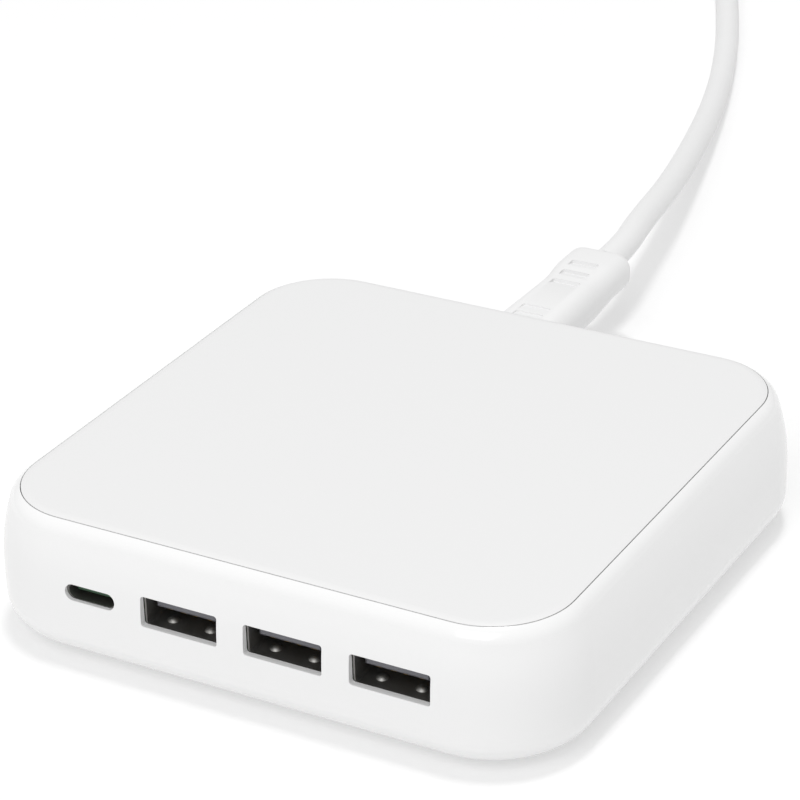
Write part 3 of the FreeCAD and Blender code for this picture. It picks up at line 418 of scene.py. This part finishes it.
# White woven hook-and-loop strap round the coil: dull, ribbed by its crossing threads
STRAP = WovenStrap(
    "woven_white_nylon", "E6E6E6", "D9D9D9", roughness=0.85, spread=0.05,
    grain_mm=0.9, depth_mm=0.18, drift_mm=4.0)
# Black nylon sleeves at the roots of the plug's pins: smooth and half dull
SLEEVE = Finish(
    "moulded_black_nylon", "1B1B1C", "232324", roughness=0.48, spread=0.05,
    grain_mm=0.5, depth_mm=0.004, drift_mm=3.0)
# Opal acrylic of a light table: matt, lit from below
OPAL_ACRYLIC = Finish(
    "lit_opal_acrylic", "CBCBCB", "CACACA", roughness=0.9, spread=0.03,
    grain_mm=0.6, depth_mm=0.002, drift_mm=60.0, ior=1.2, glow=0.58)

SLOT_FINISH: dict[str, Finish] = {
    "gloss_white_casing": GLOSS_ABS,
    "matt_white_cover": MATT_ABS,
    "foot_rubber": FOOT_RUBBER,
    "clear_film": CLEAR_FILM,
    "circuit_board": BOARD,
    "plated_steel": NICKEL,
    "port_resin": PORT_RESIN,
    "green_port_resin": GREEN_RESIN,
    "gilt_contact": GILT,
    "inlet_resin": INLET_RESIN,
    "brass_pin": BRASS,
    "component_resin": EPOXY,
    "yellow_box": YELLOW_BOX,
    "ferrite": FERRITE,
    "copper_wire": COPPER,
    "aluminium_sheet": ALUMINIUM,
    "grey_pad": SILICONE,
    "blue_disc": BLUE_DIP,
    "can_sleeve": SHRINK,
    "white_pvc": WHITE_PVC,
    "strap_fabric": STRAP,
    "black_sleeve": SLEEVE,
}


class Wardrobe:
    """Blender materials of the finishes, each made once."""

    def __init__(self) -> None:
        """Make every finish's material."""
        self.by_slot = {slot: finish.build() for slot, finish in SLOT_FINISH.items()}

    def dress_node(self, node: bpy.types.Object) -> None:
        """Give a solid of the frame the finish of the slot that it was packed with."""
        slot = node.data.materials[0].name.split(".")[0]
        node.data.materials[0] = self.by_slot[slot]

    def dress_piece(self, piece: bpy.types.Object, slot: str, *nodes: str) -> None:
        """Finish a new piece, and let it ride in place of solids of the frame.

        Args:
            piece: The new piece.
            slot: Material slot of the record.
            *nodes: Solids that the piece stands for.
        """
        piece.data.materials.clear()
        piece.data.materials.append(self.by_slot[slot])
        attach(piece, BODY)
        if nodes:
            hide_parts(*nodes)
        log.info("piece %s, finish %s, stands for %s", piece.name, slot, ", ".join(nodes) or "nothing")


def deselect_all() -> None:
    """Leave nothing selected, so that an operator acts on the new piece alone."""
    bpy.ops.object.select_all(action="DESELECT")


def make_active(piece: bpy.types.Object) -> None:
    """Select one piece and make it the active one.

    Args:
        piece: Piece that the next operators act on.
    """
    deselect_all()
    piece.select_set(True)
    bpy.context.view_layer.objects.active = piece


def settle(piece: bpy.types.Object) -> None:
    """Move a piece's place, turn and scale into its mesh."""
    make_active(piece)
    bpy.ops.object.transform_apply(location=True, rotation=True, scale=True)


def apply_modifier(piece: bpy.types.Object, kind: str, **settings: object) -> None:
    """Add a modifier with its settings and apply it.

    Args:
        piece: Piece to change.
        kind: Blender's name of the modifier type.
        **settings: Attributes of the modifier.
    """
    make_active(piece)
    modifier = piece.modifiers.new(kind.lower(), kind)
    for name, value in settings.items():
        setattr(modifier, name, value)
    bpy.ops.object.modifier_apply(modifier=modifier.name)


def select_faces(piece: bpy.types.Object, wanted: Callable[[bpy.types.MeshPolygon], bool]) -> None:
    """Select faces by place or normal, and go back to edit mode.

    Args:
        piece: Active piece, in edit mode.
        wanted: Says whether a face is to be selected.
    """
    bpy.ops.mesh.select_all(action="DESELECT")
    bpy.ops.mesh.select_mode(type="FACE")
    bpy.ops.object.mode_set(mode="OBJECT")
    for face in piece.data.polygons:
        face.select = wanted(face)
    bpy.ops.object.mode_set(mode="EDIT")


def select_edges(piece: bpy.types.Object, wanted: Callable[[Vector, Vector], bool]) -> None:
    """Select edges by their two ends, and go back to edit mode.

    Args:
        piece: Active piece, in edit mode.
        wanted: Says of an edge's two ends whether it is to be selected.
    """
    bpy.ops.mesh.select_all(action="DESELECT")
    bpy.ops.mesh.select_mode(type="EDGE")
    bpy.ops.object.mode_set(mode="OBJECT")
    mesh = piece.data
    for edge in mesh.edges:
        first, second = (mesh.vertices[v].co for v in edge.vertices)
        edge.select = wanted(first, second)
    bpy.ops.object.mode_set(mode="EDIT")


def smooth(piece: bpy.types.Object, degrees: float) -> None:
    """Shade a piece smooth, with edges sharper than an angle left crisp."""
    make_active(piece)
    bpy.ops.object.shade_smooth_by_angle(angle=math.radians(degrees))


def smooth_step(share: float) -> float:
    """Ease a share of the way in and out, from 0 to 1."""
    return share * share * (3 - 2 * share)


@dataclass
class Station:
    """One outline of a body drawn along +Y.

    Attributes:
        along: Place along the body.
        width: Size along X.
        height: Size along Z.
        level: Height of its middle above the axis.
    """

    along: float
    width: float
    height: float
    level: float = 0.0


def eased(start: Station, end: Station, steps: int) -> list[Station]:
    """Stations that swell gently from one outline to the next.

    Args:
        start: Outline that is already there.
        end: Outline to reach.
        steps: Number of new stations.

    Returns:
        The new stations, the last of which is end.
    """
    made = []
    for k in range(1, steps + 1):
        share = k / steps
        swell = smooth_step(share)
        made.append(Station(start.along + share * (end.along - start.along),
                            start.width + swell * (end.width - start.width),
                            start.height + swell * (end.height - start.height),
                            start.level + swell * (end.level - start.level)))
    return made


def rounded_off(last: Station, radius: float, steps: int) -> list[Station]:
    """Stations that round off a body's end beyond its last outline.

    Args:
        last: Last full outline.
        radius: Radius of the rounded end.
        steps: Number of new stations.

    Returns:
        The new stations.
    """
    made = []
    for k in range(1, steps + 1):
        turn = math.pi / 2 * k / steps
        drawn_in = 2 * radius * (1 - math.cos(turn))
        made.append(Station(last.along + radius * math.sin(turn), last.width - drawn_in,
                            last.height - drawn_in, last.level))
    return made


def loft(name: str, stations: list[Station], corner: float, segments: int) -> bpy.types.Object:
    """Draw a rounded bar along +Y by extruding one outline from station to station.

    Args:
        name: Name of the piece.
        stations: Outlines in order.
        corner: Corner radius of the first outline.
        segments: Facets of each corner.

    Returns:
        The closed bar, with its axis on the Y axis.
    """
    deselect_all()
    first = stations[0]
    bpy.ops.mesh.primitive_plane_add(size=1, location=(0, first.along, 0), rotation=(math.pi / 2, 0, 0))
    bar = bpy.context.object
    bar.name = name
    bar.data.name = name
    bar.scale = (first.width, first.height, 1)
    settle(bar)
    bpy.ops.object.mode_set(mode="EDIT")
    bpy.ops.mesh.select_all(action="SELECT")
    bpy.ops.mesh.bevel(offset=corner, segments=segments, affect="VERTICES")
    for here, ahead in zip(stations, stations[1:]):
        step = (0, ahead.along - here.along, ahead.level - here.level)
        bpy.ops.mesh.extrude_region_move(TRANSFORM_OT_translate={"value": step})
        bpy.ops.transform.resize(value=(ahead.width / here.width, 1, ahead.height / here.height),
                                 center_override=(0, ahead.along, ahead.level))
    bpy.ops.mesh.select_all(action="SELECT")
    bpy.ops.mesh.normals_make_consistent(inside=False)
    bpy.ops.object.mode_set(mode="OBJECT")
    return bar


def groove_wedge(width: float, length: float, deep: float, side: Side, corner: float) -> bpy.types.Object:
    """Model a wedge that cuts a finger groove: it slopes in from y = 0 and ends in a leaning wall.

    Args:
        width: Length of the groove across the grip.
        length: Size of the groove along the grip.
        deep: Depth of the groove, and how far its wall leans.
        side: Face at z = 0 that it cuts.
        corner: Radius of the groove's ends.

    Returns:
        The wedge.
    """
    clear = 2 * deep
    deselect_all()
    bpy.ops.mesh.primitive_cube_add(size=1, location=(0, length / 2, side * (clear - deep) / 2))
    wedge = bpy.context.object
    wedge.name = "groove_wedge"
    wedge.scale = (width, length, clear + deep)
    settle(wedge)
    bpy.ops.object.mode_set(mode="EDIT")
    select_edges(wedge, lambda a, b: max(a.y, b.y) < length / 2 and max(side * a.z, side * b.z) < 0)
    bpy.ops.transform.translate(value=(0, 0, side * deep))
    select_edges(wedge, lambda a, b: min(a.y, b.y) > length / 2 and max(side * a.z, side * b.z) < 0)
    bpy.ops.transform.translate(value=(0, -deep, 0))
    select_edges(wedge, lambda a, b: min(a.y, b.y) > length / 4 and abs(a.x - b.x) < width / 2)
    bpy.ops.mesh.bevel(offset=corner, segments=GROOVE_FACETS, affect="EDGES")
    bpy.ops.object.mode_set(mode="OBJECT")
    return wedge


def carve(piece: bpy.types.Object, tool: bpy.types.Object) -> None:
    """Cut one piece away from another, and remove it."""
    apply_modifier(piece, "BOOLEAN", object=tool, operation="DIFFERENCE", solver="EXACT")
    bpy.data.objects.remove(tool)


def bore(piece: bpy.types.Object, radius: float, x: float, z: float, start: float, end: float) -> None:
    """Cut a round bore along Y into a piece.

    Args:
        piece: Piece to cut.
        radius: Radius of the bore.
        x: Place of its axis.
        z: Level of its axis.
        start: Where it starts along Y.
        end: Where it ends along Y.
    """
    deselect_all()
    bpy.ops.mesh.primitive_cylinder_add(vertices=BORE_FACETS, radius=radius, depth=end - start,
                                        location=(x, (start + end) / 2, z), rotation=(math.pi / 2, 0, 0))
    drill = bpy.context.object
    settle(drill)
    carve(piece, drill)


@dataclass
class Connector:
    """Moulded connector on the lead, plugged into the back of the charger.

    Attributes:
        nose: Width and height of the nose in the inlet.
        nose_taper: How far the nose's tip is drawn in.
        root: Width and height outside the casing, where the neck starts.
        root_step: Length over which the nose turns into the neck.
        neck: Width and height of the neck where the grip starts.
        grip: Width and height of the grip.
        grip_level: Height of the grip's middle above the nose's.
        grip_length: Length of the grip with its swelling.
        swell: Length over which the neck turns into the grip.
        swell_steps: Outlines drawn over that length.
        end_round: Radius of the grip's end.
        end_steps: Outlines drawn round that end.
        corner: Corner radius of its section.
        groove_width: Length of each finger groove across the grip.
        grooves: Number of grooves above and below.
        groove_back: Where the last groove starts to slope in, counted from the grip's end.
        groove_pitch: Distance between grooves.
        groove_length: Size of each groove along the grip.
        groove_deep: Depth of each groove.
        groove_corner: Radius of a groove's ends.
        neck_grooves: Number of shallow grooves on top of the neck.
        neck_groove_out: Where the first of them starts, out from the casing.
        neck_groove_pitch: Distance between them.
        neck_groove_deep: Depth of each of them.
        pin_pitch: Distance between the two bores in the nose.
        bore_radius: Radius of each bore.
        bore_length: Depth of each bore.
        axis: Middle line of the nose, read from the frame.
        tip: Place of the nose's tip along Y, read from the frame.
        end: Place of the grip's end along Y, read from the frame.
        back: Place of the casing's back along Y, read from the frame.
    """

    nose: tuple[float, float] = (12.6 * MM, 7.6 * MM)
    nose_taper: float = 0.4 * MM
    root: tuple[float, float] = (13.0 * MM, 8.0 * MM)
    root_step: float = 0.5 * MM
    neck: tuple[float, float] = (11.4 * MM, 8.0 * MM)
    grip: tuple[float, float] = (12.2 * MM, 7.0 * MM)
    grip_level: float = 1.0 * MM
    grip_length: float = 15.0 * MM
    swell: float = 8.0 * MM
    swell_steps: int = 8
    end_round: float = 2.6 * MM
    end_steps: int = 7
    corner: float = 2.8 * MM
    groove_width: float = 5.4 * MM
    grooves: int = 3
    groove_back: float = 9.8 * MM
    groove_pitch: float = 3.8 * MM
    groove_length: float = 2.6 * MM
    groove_deep: float = 0.65 * MM
    groove_corner: float = 0.5 * MM
    neck_grooves: int = 2
    neck_groove_out: float = 9.3 * MM
    neck_groove_pitch: float = 2.9 * MM
    neck_groove_deep: float = 0.3 * MM
    pin_pitch: float = 8.6 * MM
    bore_radius: float = 1.7 * MM
    bore_length: float = 10.5 * MM
    axis: Vector = field(default_factory=Vector)
    tip: float = 0.0
    end: float = 0.0
    back: float = 0.0

    def place(self) -> None:
        """Read from the frame where the connector's axis and ends are."""
        low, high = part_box("connector_contacts")
        self.axis = Vector(((low.x + high.x) / 2, 0, (low.z + high.z) / 2))
        low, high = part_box("mains_connector")
        self.tip = low.y
        self.end = high.y
        self.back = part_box("lower_housing")[1].y

    def stations(self) -> list[Station]:
        """Outlines from the nose to the rounded end of the grip.

        Returns:
            The stations in order.
        """
        grip = self.end - self.grip_length
        width, height = self.nose
        tip = Station(self.tip, width - 2 * self.nose_taper, height - 2 * self.nose_taper)
        nose = Station(self.tip + self.nose_taper, width, height)
        nose_end = Station(self.back, width, height)
        root = Station(self.back + self.root_step, *self.root)
        neck = Station(grip, *self.neck)
        full = Station(grip + self.swell, *self.grip, self.grip_level)
        last = Station(self.end - self.end_round, *self.grip, self.grip_level)
        made = [tip, nose, nose_end, root, neck] + eased(neck, full, self.swell_steps) + [last]
        return made + rounded_off(last, self.end_round, self.end_steps)

    def face_level(self, along: float, side: Side) -> float:
        """Level of the top or the underside, counted from the axis.

        Args:
            along: Place along Y.
            side: Which of the two.

        Returns:
            The level.
        """
        share = (along - (self.end - self.grip_length)) / self.swell
        share = min(1.0, max(0.0, share))
        swell = smooth_step(share)
        height = self.neck[1] + swell * (self.grip[1] - self.neck[1])
        return swell * self.grip_level + side * height / 2

    def cut_groove(self, body: bpy.types.Object, along: float, side: Side, deep: float) -> None:
        """Cut a finger groove across the top or the underside.

        Args:
            body: Body of the connector.
            along: Place along Y where it starts to slope in.
            side: Which of the two.
            deep: Depth of the groove.
        """
        wedge = groove_wedge(self.groove_width, self.groove_length, deep, side, self.groove_corner)
        drop = self.face_level(along + self.groove_length, side) - self.face_level(along, side)
        wedge.rotation_euler.x = math.atan2(drop, self.groove_length)
        wedge.location = (0, along, self.face_level(along, side))
        settle(wedge)
        carve(body, wedge)

    def build(self, wardrobe: Wardrobe) -> bpy.types.Object:
        """Model and dress the connector.

        Args:
            wardrobe: Materials.

        Returns:
            The finished piece.
        """
        self.place()
        body = loft("connector_body", self.stations(), self.corner, CORNER_FACETS)
        for k in range(self.grooves):
            along = self.end - self.groove_back - k * self.groove_pitch
            for side in Side:
                self.cut_groove(body, along, side, self.groove_deep)
        for k in range(self.neck_grooves):
            along = self.back + self.neck_groove_out + k * self.neck_groove_pitch
            self.cut_groove(body, along, Side.TOP, self.neck_groove_deep)
        for side in (-1, 1):
            bore(body, self.bore_radius, side * self.pin_pitch / 2, 0,
                 self.tip - CUT_PAST, self.tip + self.bore_length)
        body.location = self.axis
        settle(body)
        smooth(body, CREASE)
        wardrobe.dress_piece(body, "white_pvc", "mains_connector")
        return body

    def exit(self) -> Vector:
        """Point where the cord leaves the connector."""
        return Vector((self.axis.x, self.end, self.axis.z + self.grip_level))


@dataclass
class Plug:
    """Flat two-pin plug at the far end of the lead.

    Attributes:
        start: Point where the cord enters it.
        heading: Direction from the cord to the pins.
        neck: Width and height at the cord.
        waist: Width and height where it starts to widen.
        head: Width and height at the pins.
        waist_at: Distance from the cord to the waist.
        waist_steps: Outlines drawn up to the waist.
        head_at: Distance from the cord to the full head.
        head_steps: Outlines drawn from the waist to the head.
        length: Distance from the cord to the face with the pins.
        corner: Corner radius of its section at the neck.
        cord_round: Radius of the edge at the cord.
        cord_steps: Outlines drawn round that edge.
        end_round: Radius of the edge at the pins.
        end_steps: Outlines drawn round that edge.
        pin_pitch: Distance between the pins.
        pin_radius: Radius of the bore for each pin.
        pin_sunk: Depth of that bore.
    """

    start: Vector
    heading: Vector
    neck: tuple[float, float] = (10.5 * MM, 9.5 * MM)
    waist: tuple[float, float] = (17.0 * MM, 11.5 * MM)
    head: tuple[float, float] = (35.3 * MM, 13.7 * MM)
    waist_at: float = 13.0 * MM
    waist_steps: int = 6
    head_at: float = 28.0 * MM
    head_steps: int = 10
    length: float = 36.0 * MM
    corner: float = 4.0 * MM
    cord_round: float = 1.4 * MM
    cord_steps: int = 5
    end_round: float = 1.0 * MM
    end_steps: int = 4
    pin_pitch: float = 19.0 * MM
    pin_radius: float = 1.55 * MM
    pin_sunk: float = 10.0 * MM

    def stations(self) -> list[Station]:
        """Outlines from the cord to the face with the pins.

        Returns:
            The stations in order.
        """
        neck = Station(self.cord_round, *self.neck)
        waist = Station(self.waist_at, *self.waist)
        head = Station(self.head_at, *self.head)
        last = Station(self.length - self.end_round, *self.head)
        made = [Station(2 * neck.along - s.along, s.width, s.height)
                for s in reversed(rounded_off(neck, self.cord_round, self.cord_steps))]
        made += [neck] + eased(neck, waist, self.waist_steps) + eased(waist, head, self.head_steps) + [last]
        return made + rounded_off(last, self.end_round, self.end_steps)

    def build(self, wardrobe: Wardrobe) -> bpy.types.Object:
        """Model and dress the plug's body.

        Args:
            wardrobe: Materials.

        Returns:
            The finished piece.
        """
        stations = self.stations()
        corner = self.corner * stations[0].height / self.neck[1]
        body = loft("plug_moulding", stations, corner, CORNER_FACETS)
        for side in (-1, 1):
            bore(body, self.pin_radius, side * self.pin_pitch / 2, 0, self.length - self.pin_sunk,
                 self.length + CUT_PAST)
        body.rotation_euler.z = math.atan2(-self.heading.x, self.heading.y)
        body.location = self.start
        settle(body)
        smooth(body, CREASE)
        wardrobe.dress_piece(body, "white_pvc", "plug_body")
        return body


@dataclass
class CoilTie:
    """Woven strap that holds the coiled turns together.

    Attributes:
        middle: Middle of the coil on the floor.
        radius: Distance from there to the strap's middle.
        angle: Where the strap sits round the coil, in degrees.
        inner_width: Room inside it across the turns.
        height: Height over both layers of turns, with its own thickness.
        thickness: Thickness of the strap.
        width: Size along the cord.
        corner: Outer radius where it goes round the turns.
        corner_facets: Facets of each such corner.
        edge_round: Radius of the strap's own edges.
        edge_facets: Facets of each such edge.
    """

    middle: Vector
    radius: float
    angle: float
    inner_width: float = 21.4 * MM
    height: float = 12.2 * MM
    thickness: float = 0.8 * MM
    width: float = 12.0 * MM
    corner: float = 3.2 * MM
    corner_facets: int = 6
    edge_round: float = 0.16 * MM
    edge_facets: int = 2

    def build(self, wardrobe: Wardrobe) -> bpy.types.Object:
        """Model and dress the strap.

        Args:
            wardrobe: Materials.

        Returns:
            The finished piece.
        """
        outer = self.inner_width + 2 * self.thickness
        deselect_all()
        bpy.ops.mesh.primitive_cube_add(size=1)
        band = bpy.context.object
        band.name = "coil_strap"
        band.scale = (outer, self.width, self.height)
        settle(band)
        bpy.ops.object.mode_set(mode="EDIT")
        select_edges(band, lambda a, b: abs(a.y - b.y) > self.width / 2)
        bpy.ops.mesh.bevel(offset=self.corner, segments=self.corner_facets, affect="EDGES")
        select_faces(band, lambda face: abs(face.normal.y) > LOOKS_ALONG)
        bpy.ops.mesh.delete(type="ONLY_FACE")
        bpy.ops.object.mode_set(mode="OBJECT")
        apply_modifier(band, "SOLIDIFY", thickness=self.thickness, offset=-1.0)
        apply_modifier(band, "BEVEL", width=self.edge_round, segments=self.edge_facets,
                       limit_method="ANGLE")
        turn = math.radians(self.angle)
        out = Vector((math.cos(turn), math.sin(turn), 0))
        band.rotation_euler.z = turn
        band.location = self.middle + self.radius * out + Vector((0, 0, self.height / 2))
        settle(band)
        smooth(band, CREASE)
        wardrobe.dress_piece(band, "strap_fabric", "coil_tie")
        return band


@dataclass
class MainsLead:
    """Cord from the connector to the plug, its spare length coiled and tied.

    Attributes:
        diameter: Thickness of the cord.
        straight: Straight stretch out of the connector.
        route: Points from there down to the floor and along it to the coil.
        tail: Points from the coil to the plug.
        tail_out: Straight stretch out of the coil's last turn.
        turn_pitch: Distance between turns.
        mean_radius: Middle radius of the coil.
        columns: Turns beside each other.
        lift_out: Share of the last turn that lifts towards the tail.
        tail_angle: Where the last turn ends, in degrees.
        tie_angle: Where the strap sits, in degrees.
        tie_thickness: Thickness of the strap, which lifts the turns that lie on it.
        tie_inset: How far in from the middle radius the strap sits, because the turns wind inwards.
        lift_hold: How wide the turns keep their full lift over the strap; 1 is a bare peak.
        lift_fall: How steeply the lift falls off beside the strap.
        steps: Points for each turn.
        along_steps: Facets of the cord from one point to the next.
        round_steps: How finely the cord's section is drawn.
        length: Whole length of the cord.
    """

    diameter: float = 5.2 * MM
    straight: float = 8.0 * MM
    route: tuple[Point, ...] = (
        (-0.0116, 0.1124, 0.0130),
        (-0.0165, 0.1369, 0.0100),
        (-0.0233, 0.1626, 0.0068),
        (-0.0305, 0.1880, 0.0042),
        (-0.0383, 0.2121, 0.0026),
        (-0.0476, 0.2366, 0.0026),
        (-0.0591, 0.2622, 0.0026),
        (-0.0665, 0.2783, 0.0026),
        (-0.0760, 0.2985, 0.0026),
    )
    tail: tuple[Point, ...] = (
        (0.0045, 0.3110, 0.0084),
        (0.0105, 0.2995, 0.00685),
        (0.0150, 0.2895, 0.00685),
    )
    tail_out: float = 16.0 * MM
    turn_pitch: float = 5.4 * MM
    mean_radius: float = 30.0 * MM
    columns: int = 3
    lift_out: float = 0.25
    tail_angle: float = 30.0
    tie_angle: float = 110.0
    tie_thickness: float = 0.8 * MM
    tie_inset: float = 1.25 * MM
    lift_hold: float = 1.7
    lift_fall: int = 8
    steps: int = 24
    along_steps: int = 12
    round_steps: int = 6
    length: float = 1.46

    def middle(self) -> Vector:
        """Middle of the coil on the floor."""
        centre = Vector(self.route[-1]) + self.inward() * self.outer_radius()
        return Vector((centre.x, centre.y, 0))

    def inward(self) -> Vector:
        """Direction from the end of the lead to the coil's middle, square to the lead."""
        run = (Vector(self.route[-1]) - Vector(self.route[-2])).normalized()
        return Vector((run.y, -run.x, 0))

    def outer_radius(self) -> float:
        """Radius of the outermost turn."""
        return self.mean_radius + self.columns * self.turn_pitch / 2

    def coil_point(self, angle: float, radius: float, layer: float, lift: float) -> Vector:
        """Point of a turn, lifted where the strap passes under it.

        Args:
            angle: Angle round the coil, in radians.
            radius: Radius of the turn.
            layer: 0 for the lower layer, 1 for the upper one.
            lift: Share of the strap's thickness that it is lifted by in any case.

        Returns:
            The point on the cord's middle line.
        """
        near_strap = max(0.0, math.cos(angle - math.radians(self.tie_angle))) ** self.lift_fall
        over_strap = min(1.0, self.lift_hold * near_strap)
        level = self.diameter / 2 + self.tie_thickness * max(over_strap, lift) + self.turn_pitch * layer
        middle = self.middle()
        return Vector((middle.x + radius * math.cos(angle), middle.y + radius * math.sin(angle), level))

    def coil_points(self) -> list[Vector]:
        """Turns of the coil: inwards on the floor, up, and outwards on top.

        Returns:
            Points of the cord's middle line, without those where the lead and the tail join it.
        """
        inward = self.inward()
        first = math.atan2(-inward.y, -inward.x)
        rise = ((first - math.radians(self.tail_angle)) / (2 * math.pi)) % 1.0
        turns = 2 * self.columns + rise
        points = []
        for k in range(1, int(turns * self.steps)):
            turn = k / self.steps
            climb = min(1.0, max(0.0, (turn - self.columns) / rise))
            layer = smooth_step(climb)
            inward_turns = min(turn, self.columns)
            outward_turns = max(0.0, turn - self.columns - rise)
            radius = self.outer_radius() - self.turn_pitch * (inward_turns - outward_turns)
            lift = max(0.0, 1 - (turns - turn) / self.lift_out)
            points.append(self.coil_point(first - 2 * math.pi * turn, radius, layer, lift))
        return points

    def tail_points(self) -> list[Vector]:
        """Route from the last turn to the plug.

        Returns:
            Points of the cord's middle line, the last where it enters the plug.
        """
        angle = math.radians(self.tail_angle)
        out = self.coil_point(angle, self.outer_radius(), 1.0, 1.0)
        heading = Vector((math.sin(angle), -math.cos(angle), 0))
        return [out, out + heading * self.tail_out] + [Vector(p) for p in self.tail]

    def build_cord(self, wardrobe: Wardrobe, start: Vector) -> bpy.types.Object:
        """Lay the cord along its route as one smooth line.

        Args:
            wardrobe: Materials.
            start: Point where it leaves the connector.

        Returns:
            The cord, a bevelled curve.
        """
        points = [start, start + Vector((0, self.straight, 0))] + [Vector(p) for p in self.route]
        points += self.coil_points() + self.tail_points()
        curve = bpy.data.curves.new("lead_cord", "CURVE")
        curve.dimensions = "3D"
        spline = curve.splines.new("NURBS")
        spline.points.add(len(points) - 1)
        for knot, point in zip(spline.points, points):
            knot.co = (*point, 1.0)
        spline.order_u = 3
        spline.use_endpoint_u = True
        spline.resolution_u = self.along_steps
        curve.bevel_depth = self.diameter / 2
        curve.bevel_resolution = self.round_steps
        curve.use_fill_caps = True
        cord = bpy.data.objects.new("lead_cord", curve)
        bpy.context.scene.collection.objects.link(cord)
        wardrobe.dress_piece(cord, "white_pvc", "mains_cord", "cord_coil", "cord_tail")
        return cord

    def build(self, wardrobe: Wardrobe, nodes: dict[str, bpy.types.Object]) -> None:
        """Build the whole lead: connector, cord, plug and strap.

        Args:
            wardrobe: Materials.
            nodes: Solids of the frame by name; not used.
        """
        connector = Connector()
        head = connector.build(wardrobe)
        cord = self.build_cord(wardrobe, connector.exit())
        tail = self.tail_points()
        plug = Plug(tail[-1], (tail[-1] - tail[-2]).normalized()).build(wardrobe)
        strap = CoilTie(self.middle(), self.mean_radius - self.tie_inset, self.tie_angle).build(wardrobe)


@dataclass(frozen=True)
class Softbox:
    """Square softbox that hangs in the studio.

    Attributes:
        name: Name of the light.
        place: Where it hangs.
        aim: Point that it looks at.
        size: Length of its sides.
        power: Its power in watts.
    """

    name: str
    place: Point
    aim: Point
    size: float
    power: float

    def hang(self) -> None:
        """Make the light and turn it to its aim."""
        light = bpy.data.lights.new(self.name, "AREA")
        light.shape = "SQUARE"
        light.size = self.size
        light.energy = self.power
        lamp = bpy.data.objects.new(self.name, light)
        lamp.location = self.place
        lamp.rotation_euler = (Vector(self.aim) - Vector(self.place)).to_track_quat("-Z", "Y").to_euler()
        bpy.context.scene.collection.objects.link(lamp)


@dataclass
class Studio:
    """Pale floor, soft light and the camera.

    Attributes:
        camera_place: Where the camera stands.
        yaw: Turn of the view to the right of the ports, in degrees.
        pitch: Angle at which it looks down, in degrees.
        roll: Tilt of the picture, in degrees.
        lens: Focal length in millimetres.
        sensor: Width of the camera's sensor in millimetres.
        floor_size: Length of the floor's sides.
        sky: Strength of the even light all round.
        key: Large softbox in front of the ports.
        top: Small softbox above, a little behind the charger.
    """

    camera_place: Point = (0.21196, -0.37018, 0.24817)
    yaw: float = 29.83
    pitch: float = 27.12
    roll: float = -1.66
    lens: float = 138.17
    sensor: float = 36.0
    floor_size: float = 6.0
    sky: float = 0.61
    key: Softbox = Softbox("key_softbox", place=(0.15, -1.35, 1.4), aim=(0, 0, 0), size=1.2, power=12.0)
    top: Softbox = Softbox("top_softbox", place=(0.05, 0.1, 1.8), aim=(0, 0.1, 0), size=0.3, power=11.0)

    def add_floor(self) -> None:
        """Lay the plain floor."""
        deselect_all()
        bpy.ops.mesh.primitive_plane_add(size=self.floor_size)
        floor = bpy.context.object
        floor.name = "studio_floor"
        floor.data.materials.append(OPAL_ACRYLIC.build())

    def add_sky(self) -> None:
        """Fill the room with even white light."""
        world = bpy.data.worlds.new("white_tent")
        world.use_nodes = True
        background = world.node_tree.nodes["Background"]
        background.inputs["Color"].default_value = linear("FFFFFF")
        background.inputs["Strength"].default_value = self.sky
        bpy.context.scene.world = world

    def add_camera(self) -> None:
        """Set the camera at the photograph's viewing angle."""
        yaw = math.radians(self.yaw)
        pitch = math.radians(self.pitch)
        roll = math.radians(self.roll)
        back = Vector((math.sin(yaw) * math.cos(pitch), -math.cos(yaw) * math.cos(pitch), math.sin(pitch)))
        right = Vector((math.cos(yaw), math.sin(yaw), 0))
        up = back.cross(right)
        turned_right = right * math.cos(roll) + up * math.sin(roll)
        turned_up = up * math.cos(roll) - right * math.sin(roll)
        data = bpy.data.cameras.new("camera")
        data.lens = self.lens
        data.sensor_width = self.sensor
        camera = bpy.data.objects.new("camera", data)
        axes = Matrix((turned_right, turned_up, back)).transposed()
        camera.matrix_world = Matrix.Translation(self.camera_place) @ axes.to_4x4()
        bpy.context.scene.collection.objects.link(camera)
        bpy.context.scene.camera = camera

    def build(self) -> None:
        """Set up floor, lights and camera."""
        self.add_floor()
        self.add_sky()
        self.key.hang()
        self.top.hang()
        self.add_camera()
        bpy.context.scene.view_settings.view_transform = "Standard"


def main() -> None:
    """Load the solids, dress them, and add the lead and the studio."""
    logging.basicConfig(level=logging.INFO, format="%(name)s: %(message)s")
    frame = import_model()
    wardrobe = Wardrobe()
    for name, node in frame["nodes"].items():
        wardrobe.dress_node(node)
        log.info("solid %s, finish %s", name, node.data.materials[0].name)
    MainsLead().build(wardrobe, frame["nodes"])
    Studio().build()


if __name__ == "__main__":
    main()
